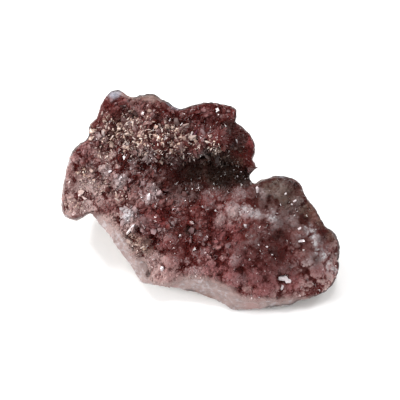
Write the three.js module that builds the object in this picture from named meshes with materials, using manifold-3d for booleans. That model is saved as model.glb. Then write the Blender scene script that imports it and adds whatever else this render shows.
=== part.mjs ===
// A fragment broken from a geode, lined with a crust of small garnet-red quartz crystals.
// It is a wedge of pale quartz with a thin dark skin outside, resting on a flattened base. Its crystal
// face leans back. A wall of crystals rises behind, with a thick roll across it. Under the right of
// the roll lies a deep hollow, and in front of that a knobbly mound runs down to the right.
//
// Everything is laid out in the face's own frame: "across" to the right, "up" the face, and "out" of it.
// The whole is then leaned back and stood on the floor, with Z up and the origin under its middle.
import * as THREE from "three";
import { mergeVertices } from "three/addons/utils/BufferGeometryUtils.js";
import { ImprovedNoise } from "three/addons/math/ImprovedNoise.js";
import Module from "manifold-3d";

const { degToRad, seededRandom, clamp, lerp } = THREE.MathUtils;
const wasm = await Module();
wasm.setup();

// Driving dimensions, in millimetres and degrees.
const FACE_LEAN = 35; // from lying flat on its back to facing forward
const FACE_HEIGHT = 26; // of the face frame's origin, over the floor
const CRUST_THICKNESS = 2.6; // under the crystals
const SEAT_GAP = 0.3; // between the crust and the rock that it grows from
const CRYSTAL_PITCH = 1.62; // half a crystal's width
const CRYSTAL_HEIGHT = { least: 0.5, most: 1.5, valley: 0.5 }; // of tips, and the spread of the dips
const CRYSTAL_WANDER = { tip: 0.62, valley: 0.34 }; // in pitches, so that no two lean alike
const TALLER = { at: [-14, 17], size: [20, 6], by: 0.5 }; // the crystals on the roll
const BED_PITCH = 3.6; // of the smooth seat under the crust
const SEAT_REACH = 1.7; // how far around a place the seat looks for the lowest of the face
const ROCK_PITCH = { front: 2.5, back: 3.1 }; // of the rough rock outside
const EDGE_THICKNESS = 2.4; // of the rock at its broken edge
const BACK_DEPTH = 30; // from the edge to the outside of the back
const BACK_REACH = 27; // how far in from the edge the back takes to round under
const BACK_ROUNDING = 0.84; // 0.5 rounds it like an ellipse, and 1 like a shallow dish
const BACK_BLEND = 0.5; // how softly the back takes up the levels of the edge around it
const BACK_LUMPS_FROM = 0.25; // of its reach in from the edge, where the back is as lumpy as it gets
const LEAST_BACKING = 1.8; // of rock behind the crust's seat, everywhere
const FOOT = { at: [1, 4], radius: 14, curl: 0.0062, sink: 0.5 }; // the flat underside, which curls up around
const BARE_PROUD = 0.4; // of the bare rock over the face, next to the crust
const BARE_SLOPE = 1.35; // how steeply the bare rock below the crust falls away, out per across
const RIM_STEP = 2.1; // between the corners of the broken edge
const RIM_KEEP = 0.35; // of that step, the least left between corners where the outline is moved inwards
const EDGE_CURVE = 0.35; // 0 runs the edge straight between its points, and 1 swings it wide
const EDGE_PULL = 0.4; // corners of the back nearer the edge than this many pitches are moved to it
const EDGE_CLEAR = 0.15; // how far outside it they are put
const SHEET = { left: -50, right: 50, low: -41, high: 41, deep: -75, top: 40, spare: 5 }; // holds the whole
const FLOOR_SIZE = 300; // of the box that cuts the base flat

// Roughness of each surface: how far it wanders, the size of its forms, their octaves, and a seed.
const FACE_ROUGH = { by: 1.3, size: 8, octaves: 2, seed: [21.7, 5.2] }; // bends the face's forms sideways
const BARE_ROUGH = { by: 0.5, size: 5, octaves: 2, seed: 3.3 };
const FOOT_ROUGH = { by: 1.1, size: 9, octaves: 2, seed: 14.6 };
const BACK_ROUGH = { by: 3.2, size: 13, octaves: 3, seed: 8.1 };

// The broken edge, seen square on, clockwise from the top left: across, up, and how wide the bare rock
// shows inside it.
const EDGE = [
  [-30.1, 33.8, 0.8], [-29.1, 34.9, 0.9], [-27.5, 35.4, 1.4], [-25.3, 35.0, 1.6], [-23.4, 33.6, 1.3],
  [-21.4, 32.8, 1.3], [-19.2, 33.6, 1.6], [-16.0, 33.9, 1.9], [-13.6, 33.9, 1.9], [-12.6, 32.2, 1.3],
  [-10.2, 31.4, 1.3], [-8.3, 29.9, 1.1], [-5.8, 29.1, 1.0], [-3.5, 30.1, 0.9], [-0.6, 30.9, 0.9],
  [3.2, 31.4, 0.9], [7.0, 30.9, 0.9], [10.2, 30.1, 0.9], [11.7, 28.8, 0.9], [11.8, 26.9, 0.8],
  [11.2, 25.1, 0.8], [12.8, 24.0, 0.8], [14.7, 22.1, 0.8], [16.6, 20.0, 0.8], [17.6, 17.3, 0.8],
  [17.4, 14.4, 0.8], [16.5, 12.5, 0.8], [18.2, 10.2, 0.9], [16.6, 9.0, 0.9], [15.8, 7.4, 0.8],
  [16.2, 5.7, 0.8], [17.3, 5.1, 0.8], [18.9, 6.4, 0.8], [21.1, 6.9, 0.8], [22.7, 7.8, 1.0],
  [25.0, 8.1, 1.0], [27.2, 7.5, 1.0], [29.4, 7.2, 1.0], [31.4, 5.8, 1.0], [32.6, 4.2, 0.9],
  [33.4, 1.3, 0.8], [35.2, -1.0, 0.8], [36.8, -3.2, 0.8], [38.1, -5.8, 0.8], [39.7, -8.3, 0.8],
  [41.6, -9.3, 0.8], [43.2, -11.5, 0.9], [44.2, -14.1, 1.0], [44.3, -17.3, 1.0], [43.8, -19.5, 0.9],
  [44.3, -21.1, 0.9], [43.5, -24.0, 0.9], [41.9, -26.9, 0.9], [40.0, -29.0, 0.9], [37.1, -30.4, 1.0],
  [33.9, -31.5, 1.3], [31.0, -32.0, 1.6], [29.1, -33.3, 2.0], [24.6, -33.8, 2.8], [19.2, -34.6, 3.8],
  [15.0, -35.0, 4.8], [11.2, -35.1, 5.4], [8.3, -33.9, 5.4], [6.1, -32.6, 5.2], [2.2, -30.9, 4.9],
  [-1.6, -29.4, 4.6], [-4.2, -29.0, 4.2], [-7.0, -28.2, 3.0], [-11.2, -27.8, 2.2], [-15.4, -26.9, 2.2],
  [-18.6, -26.2, 2.8], [-20.2, -24.6, 3.2], [-21.4, -22.1, 3.3], [-24.6, -17.8, 3.3], [-27.8, -12.5, 3.1],
  [-30.4, -9.3, 2.9], [-32.6, -7.5, 2.4], [-34.7, -4.2, 1.2], [-37.8, -6.2, 1.0], [-39.8, -6.9, 1.1],
  [-43.2, -5.8, 1.0], [-44.3, -3.5, 1.0], [-44.5, 0.0, 1.0], [-43.7, 5.1, 1.0], [-42.9, 10.2, 1.0],
  [-41.0, 15.0, 1.0], [-38.7, 17.9, 0.9], [-35.8, 19.4, 0.8], [-35.2, 21.1, 0.8], [-35.7, 22.9, 0.8],
  [-34.6, 25.0, 0.8], [-33.0, 26.6, 0.8], [-32.2, 29.4, 0.8], [-31.0, 31.7, 0.8],
];

// How far out the face stands at a few places: across, up, out. The face runs smoothly between them.
const LEVEL_SPREAD = 7;
const LEVELS = [
  [-27, 34, -9.5], [-6, 29, -8.5], [10, 30, -10], [17.5, 16, -6], [18, 10, -10], // the wall's rim
  [-34, 24, -8], [-11, 19, -2], [5, 19, -3], [-24, 20, -3], // the wall
  [-40, 8, -8], [-41, -5, -9], [-30, 4, -5], // the apron on the left
  [-19, 3, -3], [-22, -10, -1], [-18, -22, -3], [-8, -8, 1], // the middle, down to the left edge
  [3, -2, -2], [0, -14, 3], [0, -27, 0.5], // the middle
  [19, 6, -5], [27, 6, -8], [20, -11, 7], [33, -4, -2], // the mound's back and crown
  [43, -18, -7], [35, -28, -3], [12, -30, 0], [32, -17, 4], // the mound's right end and foot
];

// Broad forms on the face: the middle, half sizes along and across the form, its turn, and its rise.
// Steep is 1 for a soft swell, and more for a form with steep sides.
const FORMS = [
  { name: "roll across the wall", at: [-11, 18], size: [22, 5], turn: -1, rise: 4.2, steep: 1.3 },
  { name: "knob at the roll's right end", at: [5.6, 19.2], size: [6, 5], turn: -20, rise: 1.6, steep: 1.4 },
  { name: "hollow", at: [5, 9], size: [10.6, 4.3], turn: -4, rise: -12.5, steep: 2.2 },
  { name: "hollow's left end", at: [-4, 8], size: [6, 3], turn: 20, rise: -4, steep: 1.3 },
  { name: "gully behind the knob", at: [12.8, 16], size: [2.6, 6], turn: 12, rise: -5, steep: 1.4 },
  { name: "curl of the wall's right end", at: [17, 13.5], size: [2, 8], turn: 6, rise: 4.4, steep: 1 },
  { name: "groove under the top edge", at: [-3, 25.6], size: [14, 2.2], turn: 3, rise: -1.6, steep: 1 },
  { name: "mound", at: [21, -12], size: [19, 12], turn: -22, rise: 4, steep: 1 },
  { name: "mound's left shoulder", at: [8, -1], size: [9, 5], turn: -12, rise: 4.5, steep: 1 },
  { name: "mound's right shoulder", at: [25, 2], size: [7, 5], turn: -30, rise: 3.5, steep: 1 },
  { name: "pit in the middle", at: [6, -10], size: [5, 4.5], turn: 30, rise: -3.4, steep: 1 },
  { name: "pit in the mound", at: [26.5, -13.5], size: [4, 4.6], turn: 0, rise: -3.2, steep: 1 },
  { name: "left swell", at: [-17, -5], size: [9, 7], turn: -40, rise: 2.6, steep: 1 },
  { name: "saddle on the left", at: [-32, 10], size: [3.4, 11], turn: -25, rise: -2, steep: 1 },
  { name: "apron's edge", at: [-41, 5], size: [4, 12], turn: -8, rise: 1.6, steep: 1 },
];

// Rounded knobs that the crystals grow over: across, up, radius.
const KNOB_HEIGHT = 0.7; // of a knob's radius
const KNOBS = [
  [20.2, 2.4, 1.9], [24.5, 2.1, 2.1], [26.6, 4.3, 2.4], [30.3, 0.0, 2.0], [2.4, -1.3, 2.2],
  [5.4, 3.3, 2.6], [1.8, 1.3, 1.9], [12.2, 1.9, 2.9], [10.1, -2.5, 2.9], [6.4, -5.8, 2.2],
  [14.1, -3.7, 2.4], [18.1, -4.3, 2.2], [21.4, -4.9, 2.0], [23.9, -7.0, 2.4], [28.8, -6.7, 2.4],
  [31.6, -10.1, 2.6], [16.2, -12.0, 2.7], [18.7, -9.5, 2.2], [12.3, -14.4, 2.1], [26.0, -13.2, 1.7],
  [29.4, -12.6, 1.6], [33.4, -18.1, 3.1], [36.4, -12.6, 2.4], [39.5, -15.0, 2.4], [36.7, -22.1, 2.8],
  [26.7, -21.1, 2.2], [22.4, -23.6, 1.9], [17.2, -24.2, 2.8], [10.1, -24.5, 3.2], [19.9, -28.0, 2.9],
  [10.7, -19.3, 2.3], [30.6, -25.8, 2.6], [-2.1, 3.6, 2.2], [-5.8, -0.3, 2.3], [-9.8, -13.2, 2.8],
  [-16.2, 0.3, 2.7], [-22.7, -4.3, 2.4], [-18.4, -2.0, 1.9], [-15.2, -6.0, 2.9], [-15.0, 3.4, 2.2],
  [-11.3, -8.3, 2.2], [-18.0, -13.1, 2.7], [-14.6, -17.3, 2.0], [-9.2, -19.0, 2.9], [-10.7, -24.2, 2.6],
  [0.6, -10.8, 2.6], [-33.0, 21.9, 1.6], [-28.4, 20.0, 1.8], [-18.9, 18.5, 1.9], [-11.8, 18.0, 1.8],
  [-14.0, 21.4, 1.5], [-6.7, 18.4, 1.9], [-26.6, 16.4, 1.6], [5.7, 19.4, 3.6], [1.2, 20.4, 1.9],
  [-26.0, 8.0, 2.4], [-31.5, -1.5, 2.2], [-40.0, -2.5, 2.2], [-38.5, 12.5, 2.4], [-27.5, 28.5, 2.2],
];

const smoothEnd = (t) => t * t * (3 - 2 * t);
const perlin = new ImprovedNoise();

// Broken-up noise, with each finer octave half as strong.
function rough({ by, size, octaves }, across, up, seed) {
  let sum = 0;
  for (let i = 0; i < octaves; i++) {
    const finer = 2 ** i;
    sum += perlin.noise((across / size) * finer, (up / size) * finer, seed) / finer;
  }
  return sum * by;
}

// The face without its knobs and crystals: how far out it stands at a place.
function faceOut(acrossHere, upHere) {
  const across = acrossHere + rough(FACE_ROUGH, acrossHere, upHere, FACE_ROUGH.seed[0]);
  const up = upHere + rough(FACE_ROUGH, acrossHere, upHere, FACE_ROUGH.seed[1]);
  let weights = 0;
  let sum = 0;
  for (const [a, u, out] of LEVELS) {
    const weight = Math.exp(-((across - a) ** 2 + (up - u) ** 2) / (2 * LEVEL_SPREAD ** 2));
    weights += weight;
    sum += weight * out;
  }
  let out = sum / weights;
  for (const { at, size, turn, rise, steep } of FORMS) {
    const [c, s] = [Math.cos(degToRad(turn)), Math.sin(degToRad(turn))];
    const along = ((across - at[0]) * c + (up - at[1]) * s) / size[0];
    const aside = ((up - at[1]) * c - (across - at[0]) * s) / size[1];
    out += rise * Math.exp(-((along ** 2 + aside ** 2) ** steep));
  }
  return out;
}

// How high the knobs stand over that face: the highest one at the place wins, so creases stay between them.
function knobRise(across, up) {
  let rise = 0;
  for (const [a, u, radius] of KNOBS) {
    const off = ((across - a) ** 2 + (up - u) ** 2) / radius ** 2;
    if (off < 1) rise = Math.max(rise, radius * KNOB_HEIGHT * Math.sqrt(1 - off));
  }
  return rise;
}

// The broken edge as evenly spaced corners. Each corner's z holds the width of bare rock.
const edgeCurve = new THREE.CatmullRomCurve3(
  EDGE.map((point) => new THREE.Vector3(...point)), true, "catmullrom", EDGE_CURVE,
);
const edge = edgeCurve.getSpacedPoints(Math.round(edgeCurve.getLength() / RIM_STEP)).slice(0, -1);

// The nearest point of the edge, its distance, the width of bare rock there, and a point just outside it.
function nearestEdge(across, up) {
  let best = { distance: Infinity };
  edge.forEach((p, i) => {
    const q = edge[(i + 1) % edge.length];
    const run = (q.x - p.x) ** 2 + (q.y - p.y) ** 2;
    const t = clamp(((across - p.x) * (q.x - p.x) + (up - p.y) * (q.y - p.y)) / run, 0, 1);
    const at = [lerp(p.x, q.x, t), lerp(p.y, q.y, t)];
    const distance = Math.hypot(across - at[0], up - at[1]);
    if (distance > best.distance) return;
    const clear = EDGE_CLEAR / Math.sqrt(run);
    const outside = [at[0] - (q.y - p.y) * clear, at[1] + (q.x - p.x) * clear];
    best = { distance, bare: lerp(p.z, q.z, t), at, outside };
  });
  return best;
}

// The edge moved inwards by the width of bare rock plus some more, as the crust's own outline.
// Each corner starts just inside the edge, and is pushed away from it a few times, until it has room.
function edgeInside(more) {
  const [start, pushes] = [0.2, 8];
  const kept = [];
  edge.forEach((p, i) => {
    const before = edge[(i + edge.length - 1) % edge.length];
    const run = new THREE.Vector2().subVectors(edge[(i + 1) % edge.length], before).normalize();
    const q = new THREE.Vector2(p.x + run.y * start, p.y - run.x * start);
    for (let push = 0; push < pushes; push++) {
      const { distance, bare, at } = nearestEdge(q.x, q.y);
      const short = Math.max(0, bare + more - distance);
      q.add(new THREE.Vector2(q.x - at[0], q.y - at[1]).multiplyScalar(short / distance));
    }
    const step = kept.length ? new THREE.Vector2().subVectors(q, kept.at(-1)) : run;
    if (step.dot(run) > RIM_STEP * RIM_KEEP) kept.push(q);
  });
  return kept;
}

// A three.js geometry as a solid for the booleans.
function solidOf(geometry) {
  const bare = geometry.clone();
  bare.deleteAttribute("normal");
  bare.deleteAttribute("uv");
  const merged = mergeVertices(bare, 1e-4);
  return new wasm.Manifold(
    new wasm.Mesh({
      numProp: 3,
      vertProperties: merged.attributes.position.array,
      triVerts: new Uint32Array(merged.index.array),
    }),
  );
}

function geometryOf(solid) {
  const { vertProperties, triVerts } = solid.getMesh();
  const geometry = new THREE.BufferGeometry();
  geometry.setAttribute("position", new THREE.BufferAttribute(vertProperties, 3));
  geometry.setIndex(new THREE.BufferAttribute(triVerts, 1));
  geometry.computeVertexNormals();
  return geometry;
}

// Everything that lies inside an outline, whatever its depth.
function prism(outline) {
  const shape = new THREE.Shape(outline.map((p) => new THREE.Vector2(p.x, p.y)));
  const depth = SHEET.top - SHEET.deep + 2 * SHEET.spare;
  const geometry = new THREE.ExtrudeGeometry(shape, { depth, bevelEnabled: false });
  return solidOf(geometry.translate(0, 0, SHEET.deep - SHEET.spare));
}

// Everything that lies under a surface: a sheet of triangles in rows, over a flat floor far below.
// place(row, column, across, up) gives a corner of the sheet. Every third corner can be a crystal's tip.
function blockUnder(pitch, place) {
  const rowStep = (pitch * Math.sqrt(3)) / 2;
  const rows = Math.ceil((SHEET.high - SHEET.low) / rowStep);
  const columns = Math.ceil((SHEET.right - SHEET.left) / pitch);
  const corners = [];
  for (let row = 0; row <= rows; row++) {
    for (let column = 0; column <= columns; column++) {
      const across = SHEET.left + (column + (row % 2) / 2) * pitch;
      corners.push(place(row, column, across, SHEET.low + row * rowStep));
    }
  }
  const count = corners.length;
  const positions = [...corners, ...corners.map(([across, up]) => [across, up, SHEET.deep])].flat();
  const faces = [];
  const addFace = (a, b, c) => faces.push(a, b, c, c + count, b + count, a + count);
  const number = (row, column) => row * (columns + 1) + column;
  for (let row = 0; row < rows; row++) {
    for (let column = 0; column < columns; column++) {
      const [a, b] = [number(row, column), number(row, column + 1)];
      const [c, d] = [number(row + 1, column), number(row + 1, column + 1)];
      if (row % 2) {
        addFace(a, b, d);
        addFace(a, d, c);
      } else {
        addFace(a, b, c);
        addFace(b, d, c);
      }
    }
  }
  const border = [];
  for (let column = 0; column < columns; column++) border.push(number(0, column));
  for (let row = 0; row < rows; row++) border.push(number(row, columns));
  for (let column = columns; column > 0; column--) border.push(number(rows, column));
  for (let row = rows; row > 0; row--) border.push(number(row, 0));
  border.forEach((a, i) => {
    const b = border[(i + 1) % border.length];
    faces.push(a, a + count, b + count, a, b + count, b);
  });
  const geometry = new THREE.BufferGeometry();
  geometry.setAttribute("position", new THREE.Float32BufferAttribute(positions, 3));
  geometry.setIndex(faces);
  return solidOf(geometry);
}

// The crust's top: six-sided crystal points side by side, leaning at random, over the knobs.
// Every third corner along a row is a tip, and the corners around it are the dips between crystals.
function crystalCorner(row, column, across, up) {
  const random = (salt) => seededRandom(row * 7919 + column * 104729 + salt) - 0.5; // primes mix the seed
  const axial = column - Math.floor(row / 2);
  const isTip = (((axial - row) % 3) + 3) % 3 === 0;
  const wander = (isTip ? CRYSTAL_WANDER.tip : CRYSTAL_WANDER.valley) * CRYSTAL_PITCH;
  const a = across + random(1) * wander;
  const u = up + random(2) * wander;
  const fromRoll = [(a - TALLER.at[0]) / TALLER.size[0], (u - TALLER.at[1]) / TALLER.size[1]];
  const taller = TALLER.by * Math.exp(-(fromRoll[0] ** 2) - fromRoll[1] ** 2);
  const tip = lerp(CRYSTAL_HEIGHT.least, CRYSTAL_HEIGHT.most, random(3) + 0.5) + taller;
  return [a, u, faceOut(a, u) + knobRise(a, u) + (isTip ? tip : random(3) * CRYSTAL_HEIGHT.valley)];
}

function sheetOf(pitch, height) {
  return blockUnder(pitch, (row, column, across, up) => [across, up, height(across, up)]);
}

// The same, with the corners near the broken edge moved to just outside it, so the sheet folds along it.
function sheetFoldedAtEdge(pitch, height) {
  return blockUnder(pitch, (row, column, across, up) => {
    const { distance, outside } = nearestEdge(across, up);
    return distance < pitch * EDGE_PULL ? [...outside, height(...outside)] : [across, up, height(across, up)];
  });
}

// The seat follows the face from below. It takes the lowest of the face around a place, to clear hollows.
function seatOut(across, up) {
  const around = [[0, 0], [SEAT_REACH, 0], [-SEAT_REACH, 0], [0, SEAT_REACH], [0, -SEAT_REACH]];
  return Math.min(...around.map(([a, u]) => faceOut(across + a, up + u))) - CRUST_THICKNESS;
}
const crustBed = (below) => sheetOf(BED_PITCH, (across, up) => seatOut(across, up) - below);

// The rock's own front, which only shows outside the crust, where it falls away to the broken edge.
function rockFront(across, up) {
  const { distance, bare } = nearestEdge(across, up);
  const fall = Math.max(0, bare - distance) * BARE_SLOPE;
  return faceOut(across, up) + BARE_PROUD - fall + rough(BARE_ROUGH, across, up, BARE_ROUGH.seed);
}

// The underside in the face's frame: flat on the floor around the foot and curling up beyond it.
function underside(across, up) {
  const [c, s] = [Math.cos(degToRad(FACE_LEAN)), Math.sin(degToRad(FACE_LEAN))];
  const floor = (-FACE_HEIGHT - up * s) / c;
  const fromFoot = Math.hypot(across - FOOT.at[0], up * c - floor * s - FOOT.at[1]);
  const away = Math.max(0, fromFoot - FOOT.radius);
  const height = away ** 2 * FOOT.curl + rough(FOOT_ROUGH, across, up, FOOT_ROUGH.seed) - FOOT.sink;
  return floor + height / c;
}

// The rock's outside at the back: it starts a little behind the broken edge and rounds under, lumpy.
const edgeLevels = edge.map((p) => ({ x: p.x, y: p.y, out: rockFront(p.x, p.y) }));
function rockBack(across, up) {
  let weights = 0;
  let sum = 0;
  for (const { x, y, out } of edgeLevels) {
    const weight = 1 / ((across - x) ** 2 + (up - y) ** 2 + BACK_BLEND) ** 1.5;
    weights += weight;
    sum += weight * out;
  }
  const inside = clamp(nearestEdge(across, up).distance / BACK_REACH, 0, 1); // 0 at the edge
  const depth = BACK_DEPTH * (1 - (1 - inside) ** 2) ** BACK_ROUNDING;
  const lumpy = smoothEnd(clamp(inside / BACK_LUMPS_FROM, 0, 1));
  const lumps = rough(BACK_ROUGH, across, up, BACK_ROUGH.seed) * lumpy;
  const round = Math.max(sum / weights - EDGE_THICKNESS - depth + lumps, underside(across, up));
  return Math.min(round, seatOut(across, up) - SEAT_GAP - LEAST_BACKING);
}

const standing = new THREE.Group();
standing.rotation.x = degToRad(FACE_LEAN);
standing.position.set(0, 0, FACE_HEIGHT);
standing.updateMatrix();

// The floor, as a box below it, seen from the face's own frame.
function floorBox() {
  const box = new THREE.BoxGeometry(FLOOR_SIZE, FLOOR_SIZE, FLOOR_SIZE).translate(0, 0, -FLOOR_SIZE / 2);
  return solidOf(box.applyMatrix4(standing.matrix.clone().invert()));
}

const crustTop = blockUnder(CRYSTAL_PITCH, crystalCorner);
const crust = crustTop.intersect(prism(edgeInside(0))).subtract(crustBed(0));
const bed = prism(edgeInside(-SEAT_GAP)).subtract(crustBed(SEAT_GAP));
const rock = sheetOf(ROCK_PITCH.front, rockFront)
  .intersect(prism(edge))
  .subtract(bed)
  .subtract(sheetFoldedAtEdge(ROCK_PITCH.back, rockBack))
  .subtract(floorBox());

function piece(name, solid, color, roughness) {
  const material = new THREE.MeshStandardMaterial({ color, roughness, metalness: 0 });
  const mesh = new THREE.Mesh(geometryOf(solid), material);
  mesh.name = name;
  standing.add(mesh);
}
piece("quartz_rock", rock, 0xa08c86, 0.75);
piece("crystal_crust", crust, 0x7a3a36, 0.3);

// The origin lies on the floor, under the middle of the whole.
const reach = new THREE.Box3().setFromObject(standing, true);
standing.position.x -= (reach.min.x + reach.max.x) / 2;
standing.position.y -= (reach.min.y + reach.max.y) / 2;

const geode = new THREE.Group();
geode.add(standing);
export default geode;
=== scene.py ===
import math

import bpy
import numpy as np
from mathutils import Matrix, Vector
from mathutils.bvhtree import BVHTree
from mathutils.kdtree import KDTree


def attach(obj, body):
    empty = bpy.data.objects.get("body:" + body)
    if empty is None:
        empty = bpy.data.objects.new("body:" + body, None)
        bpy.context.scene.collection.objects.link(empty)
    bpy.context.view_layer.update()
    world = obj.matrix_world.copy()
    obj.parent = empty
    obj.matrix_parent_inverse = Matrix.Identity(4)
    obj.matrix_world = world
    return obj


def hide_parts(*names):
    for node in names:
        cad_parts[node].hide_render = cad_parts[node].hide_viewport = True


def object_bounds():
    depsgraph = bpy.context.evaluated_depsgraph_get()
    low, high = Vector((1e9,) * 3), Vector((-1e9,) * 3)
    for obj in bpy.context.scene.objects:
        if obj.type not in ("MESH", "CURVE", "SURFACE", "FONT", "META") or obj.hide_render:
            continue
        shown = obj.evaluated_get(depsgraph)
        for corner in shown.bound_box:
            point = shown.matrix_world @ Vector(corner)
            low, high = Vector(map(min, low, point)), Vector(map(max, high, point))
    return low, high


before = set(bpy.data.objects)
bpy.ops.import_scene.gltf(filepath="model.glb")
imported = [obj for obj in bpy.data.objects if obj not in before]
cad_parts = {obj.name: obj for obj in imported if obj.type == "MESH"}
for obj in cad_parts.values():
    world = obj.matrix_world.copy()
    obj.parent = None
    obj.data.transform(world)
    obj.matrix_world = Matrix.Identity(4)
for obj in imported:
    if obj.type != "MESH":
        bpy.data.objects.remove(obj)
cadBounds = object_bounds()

mm = 0.001

# The crystal face has its own frame, in mm: across it to the right, up it, and out of it.
face = {
    "lean": 35,  # degrees back from lying flat
    "origin": (0.1, -5.97, 26),  # in the row frame
    "left": -46,  # what the measuring grid covers
    "right": 46,
    "low": -37,
    "high": 37.5,
    "step": 0.3,  # between its points
    "far": 90,  # from where the solids are measured, well outside them
}

lean = math.radians(face["lean"])
faceAxes = np.array([[1, 0, 0], [0, math.cos(lean), math.sin(lean)], [0, -math.sin(lean), math.cos(lean)]])
gridAcross = np.arange(face["left"], face["right"], face["step"])
gridUp = np.arange(face["low"], face["high"], face["step"])
acrossGrid, upGrid = np.meshgrid(gridAcross, gridUp)


def toRow(places):
    # millimetres on the face to metres in the row frame
    return (np.asarray(places) @ faceAxes + np.array(face["origin"])) * mm


def toFace(places):
    return (np.asarray(places) / mm - np.array(face["origin"])) @ faceAxes.T


def softStep(value, low, high):
    t = np.clip((value - low) / (high - low), 0, 1)
    return t * t * (3 - 2 * t)


def unit(vectors):
    return vectors / np.linalg.norm(vectors, axis=1)[:, None]


def onFlat(across, up):
    return np.stack([across, up, np.zeros(len(across))], 1)


def cornerValue(x, y, z, seed):
    # a repeatable number from 0 to 1 for each whole-number corner, mixed with large odd numbers
    n = (x * 374761393 + y * 668265263 + z * 1440662683 + seed * 974634777).astype(np.uint32)
    n = (n ^ (n >> np.uint32(13))) * np.uint32(1274126177)
    n = (n ^ (n >> np.uint32(16))) * np.uint32(2246822519)
    return (n ^ (n >> np.uint32(13))) / 4294967295.0


def noiseAt(places, size, seed, octaves=1):
    # smooth noise from -1 to 1 with features of the given size, each octave half the size of the last
    places = np.asarray(places, float)
    total = np.zeros(len(places))
    weight = 0
    for octave in range(octaves):
        p = places * 2**octave / size + 31.7 * (octave + 1)
        cell = np.floor(p).astype(np.int64)
        f = p - cell
        f = f * f * (3 - 2 * f)
        value = 0
        for corner in np.ndindex(2, 2, 2):
            share = [f[:, axis] if side else 1 - f[:, axis] for axis, side in enumerate(corner)]
            at = [cell[:, axis] + side for axis, side in enumerate(corner)]
            value = value + share[0] * share[1] * share[2] * cornerValue(*at, seed + octave)
        total += (value * 2 - 1) / 2**octave
        weight += 1 / 2**octave
    return total / weight


def gridNoise(size, seed, octaves=1):
    places = onFlat(acrossGrid.ravel(), upGrid.ravel())
    return noiseAt(places, size, seed, octaves).reshape(acrossGrid.shape)


def blur(grid, spread):
    # softens a grid over so many millimetres
    reach = max(1, int(2.6 * spread / face["step"]))
    kernel = np.exp(-0.5 * (np.arange(-reach, reach + 1) * face["step"] / spread) ** 2)
    kernel /= kernel.sum()
    for axis in (0, 1):
        pad = [(0, 0), (0, 0)]
        pad[axis] = (reach, reach)
        padded = np.pad(grid, pad, mode="edge")
        size = grid.shape[axis]
        grid = sum(k * np.take(padded, range(i, i + size), axis) for i, k in enumerate(kernel))
    return grid


def blurInside(grid, mask, spread):
    weight = blur(mask.astype(float), spread)
    return blur(np.where(mask, grid, 0), spread) / np.maximum(weight, 1e-6)


def fillOut(grid, mask):
    # carries the values inside the mask smoothly beyond it
    known = mask.copy()
    filled = np.where(mask, grid, 0.0)
    for spread in (0.5, 1.2, 3, 8, 20):
        weight = blur(known.astype(float), spread)
        near = (weight > 0.02) & ~known
        filled = np.where(near, blurInside(filled, known, spread), filled)
        known |= near
    return filled


def treeOf(mask):
    # finds the nearest of the mask's grid points
    rows, columns = np.nonzero(mask)
    tree = KDTree(len(rows))
    for i, (row, column) in enumerate(zip(rows, columns)):
        tree.insert((gridAcross[column], gridUp[row], 0), i)
    tree.balance()
    return tree, rows, columns


def nearestOut(grid, mask):
    # gives every point outside the mask the value of the nearest point inside it
    tree, rows, columns = treeOf(mask)
    filled = grid.copy()
    for row, column in zip(*np.nonzero(~mask)):
        i = tree.find((gridAcross[column], gridUp[row], 0))[1]
        filled[row, column] = grid[rows[i], columns[i]]
    return filled


def distanceTo(mask):
    # millimetres to the mask's edge, positive inside it
    inner = mask.copy()
    for axis in (0, 1):
        for shift in (-1, 1):
            inner &= np.roll(mask, shift, axis)
    tree = treeOf(mask & ~inner)[0]
    away = np.array([tree.find((a, u, 0))[2] for a, u in zip(acrossGrid.ravel(), upGrid.ravel())])
    away = away.reshape(mask.shape)
    return np.where(mask, away, -away)


def valuesOf(items, name, size=3, kind=float):
    # one row of numbers for every corner or edge of a mesh
    values = np.zeros(len(items) * size, kind)
    items.foreach_get(name, values)
    return values.reshape(-1, size)


def castOnto(node, outwards):
    # how far out the node's near side (or its far side) lies at each grid point
    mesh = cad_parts[node].data
    corners = toFace(valuesOf(mesh.vertices, "co"))
    tree = BVHTree.FromPolygons(corners.tolist(), [tuple(p.vertices) for p in mesh.polygons])
    side = 1 if outwards else -1
    found = np.full(acrossGrid.shape, np.nan)
    for row, up in enumerate(gridUp):
        for column, across in enumerate(gridAcross):
            hit = tree.ray_cast(Vector((across, up, side * face["far"])), Vector((0, 0, -side)))[0]
            if hit:
                found[row, column] = hit.z
    return found


def atGrid(grid, across, up):
    # reads a grid between its points
    x = np.clip((np.asarray(across) - face["left"]) / face["step"], 0, grid.shape[1] - 1.001)
    y = np.clip((np.asarray(up) - face["low"]) / face["step"], 0, grid.shape[0] - 1.001)
    column, row = x.astype(int), y.astype(int)
    fx, fy = x - column, y - row
    lower = grid[row, column] * (1 - fx) + grid[row, column + 1] * fx
    upper = grid[row + 1, column] * (1 - fx) + grid[row + 1, column + 1] * fx
    return lower * (1 - fy) + upper * fy


print("measuring the packed solids")
crustTop = castOnto("crystal_crust", True)
rockTop = castOnto("quartz_rock", True)
rockBack = castOnto("quartz_rock", False)
crustMask = ~np.isnan(crustTop)
solidMask = crustMask | ~np.isnan(rockTop)
insideCrust = distanceTo(crustMask)
insideEdge = distanceTo(solidMask)

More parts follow.
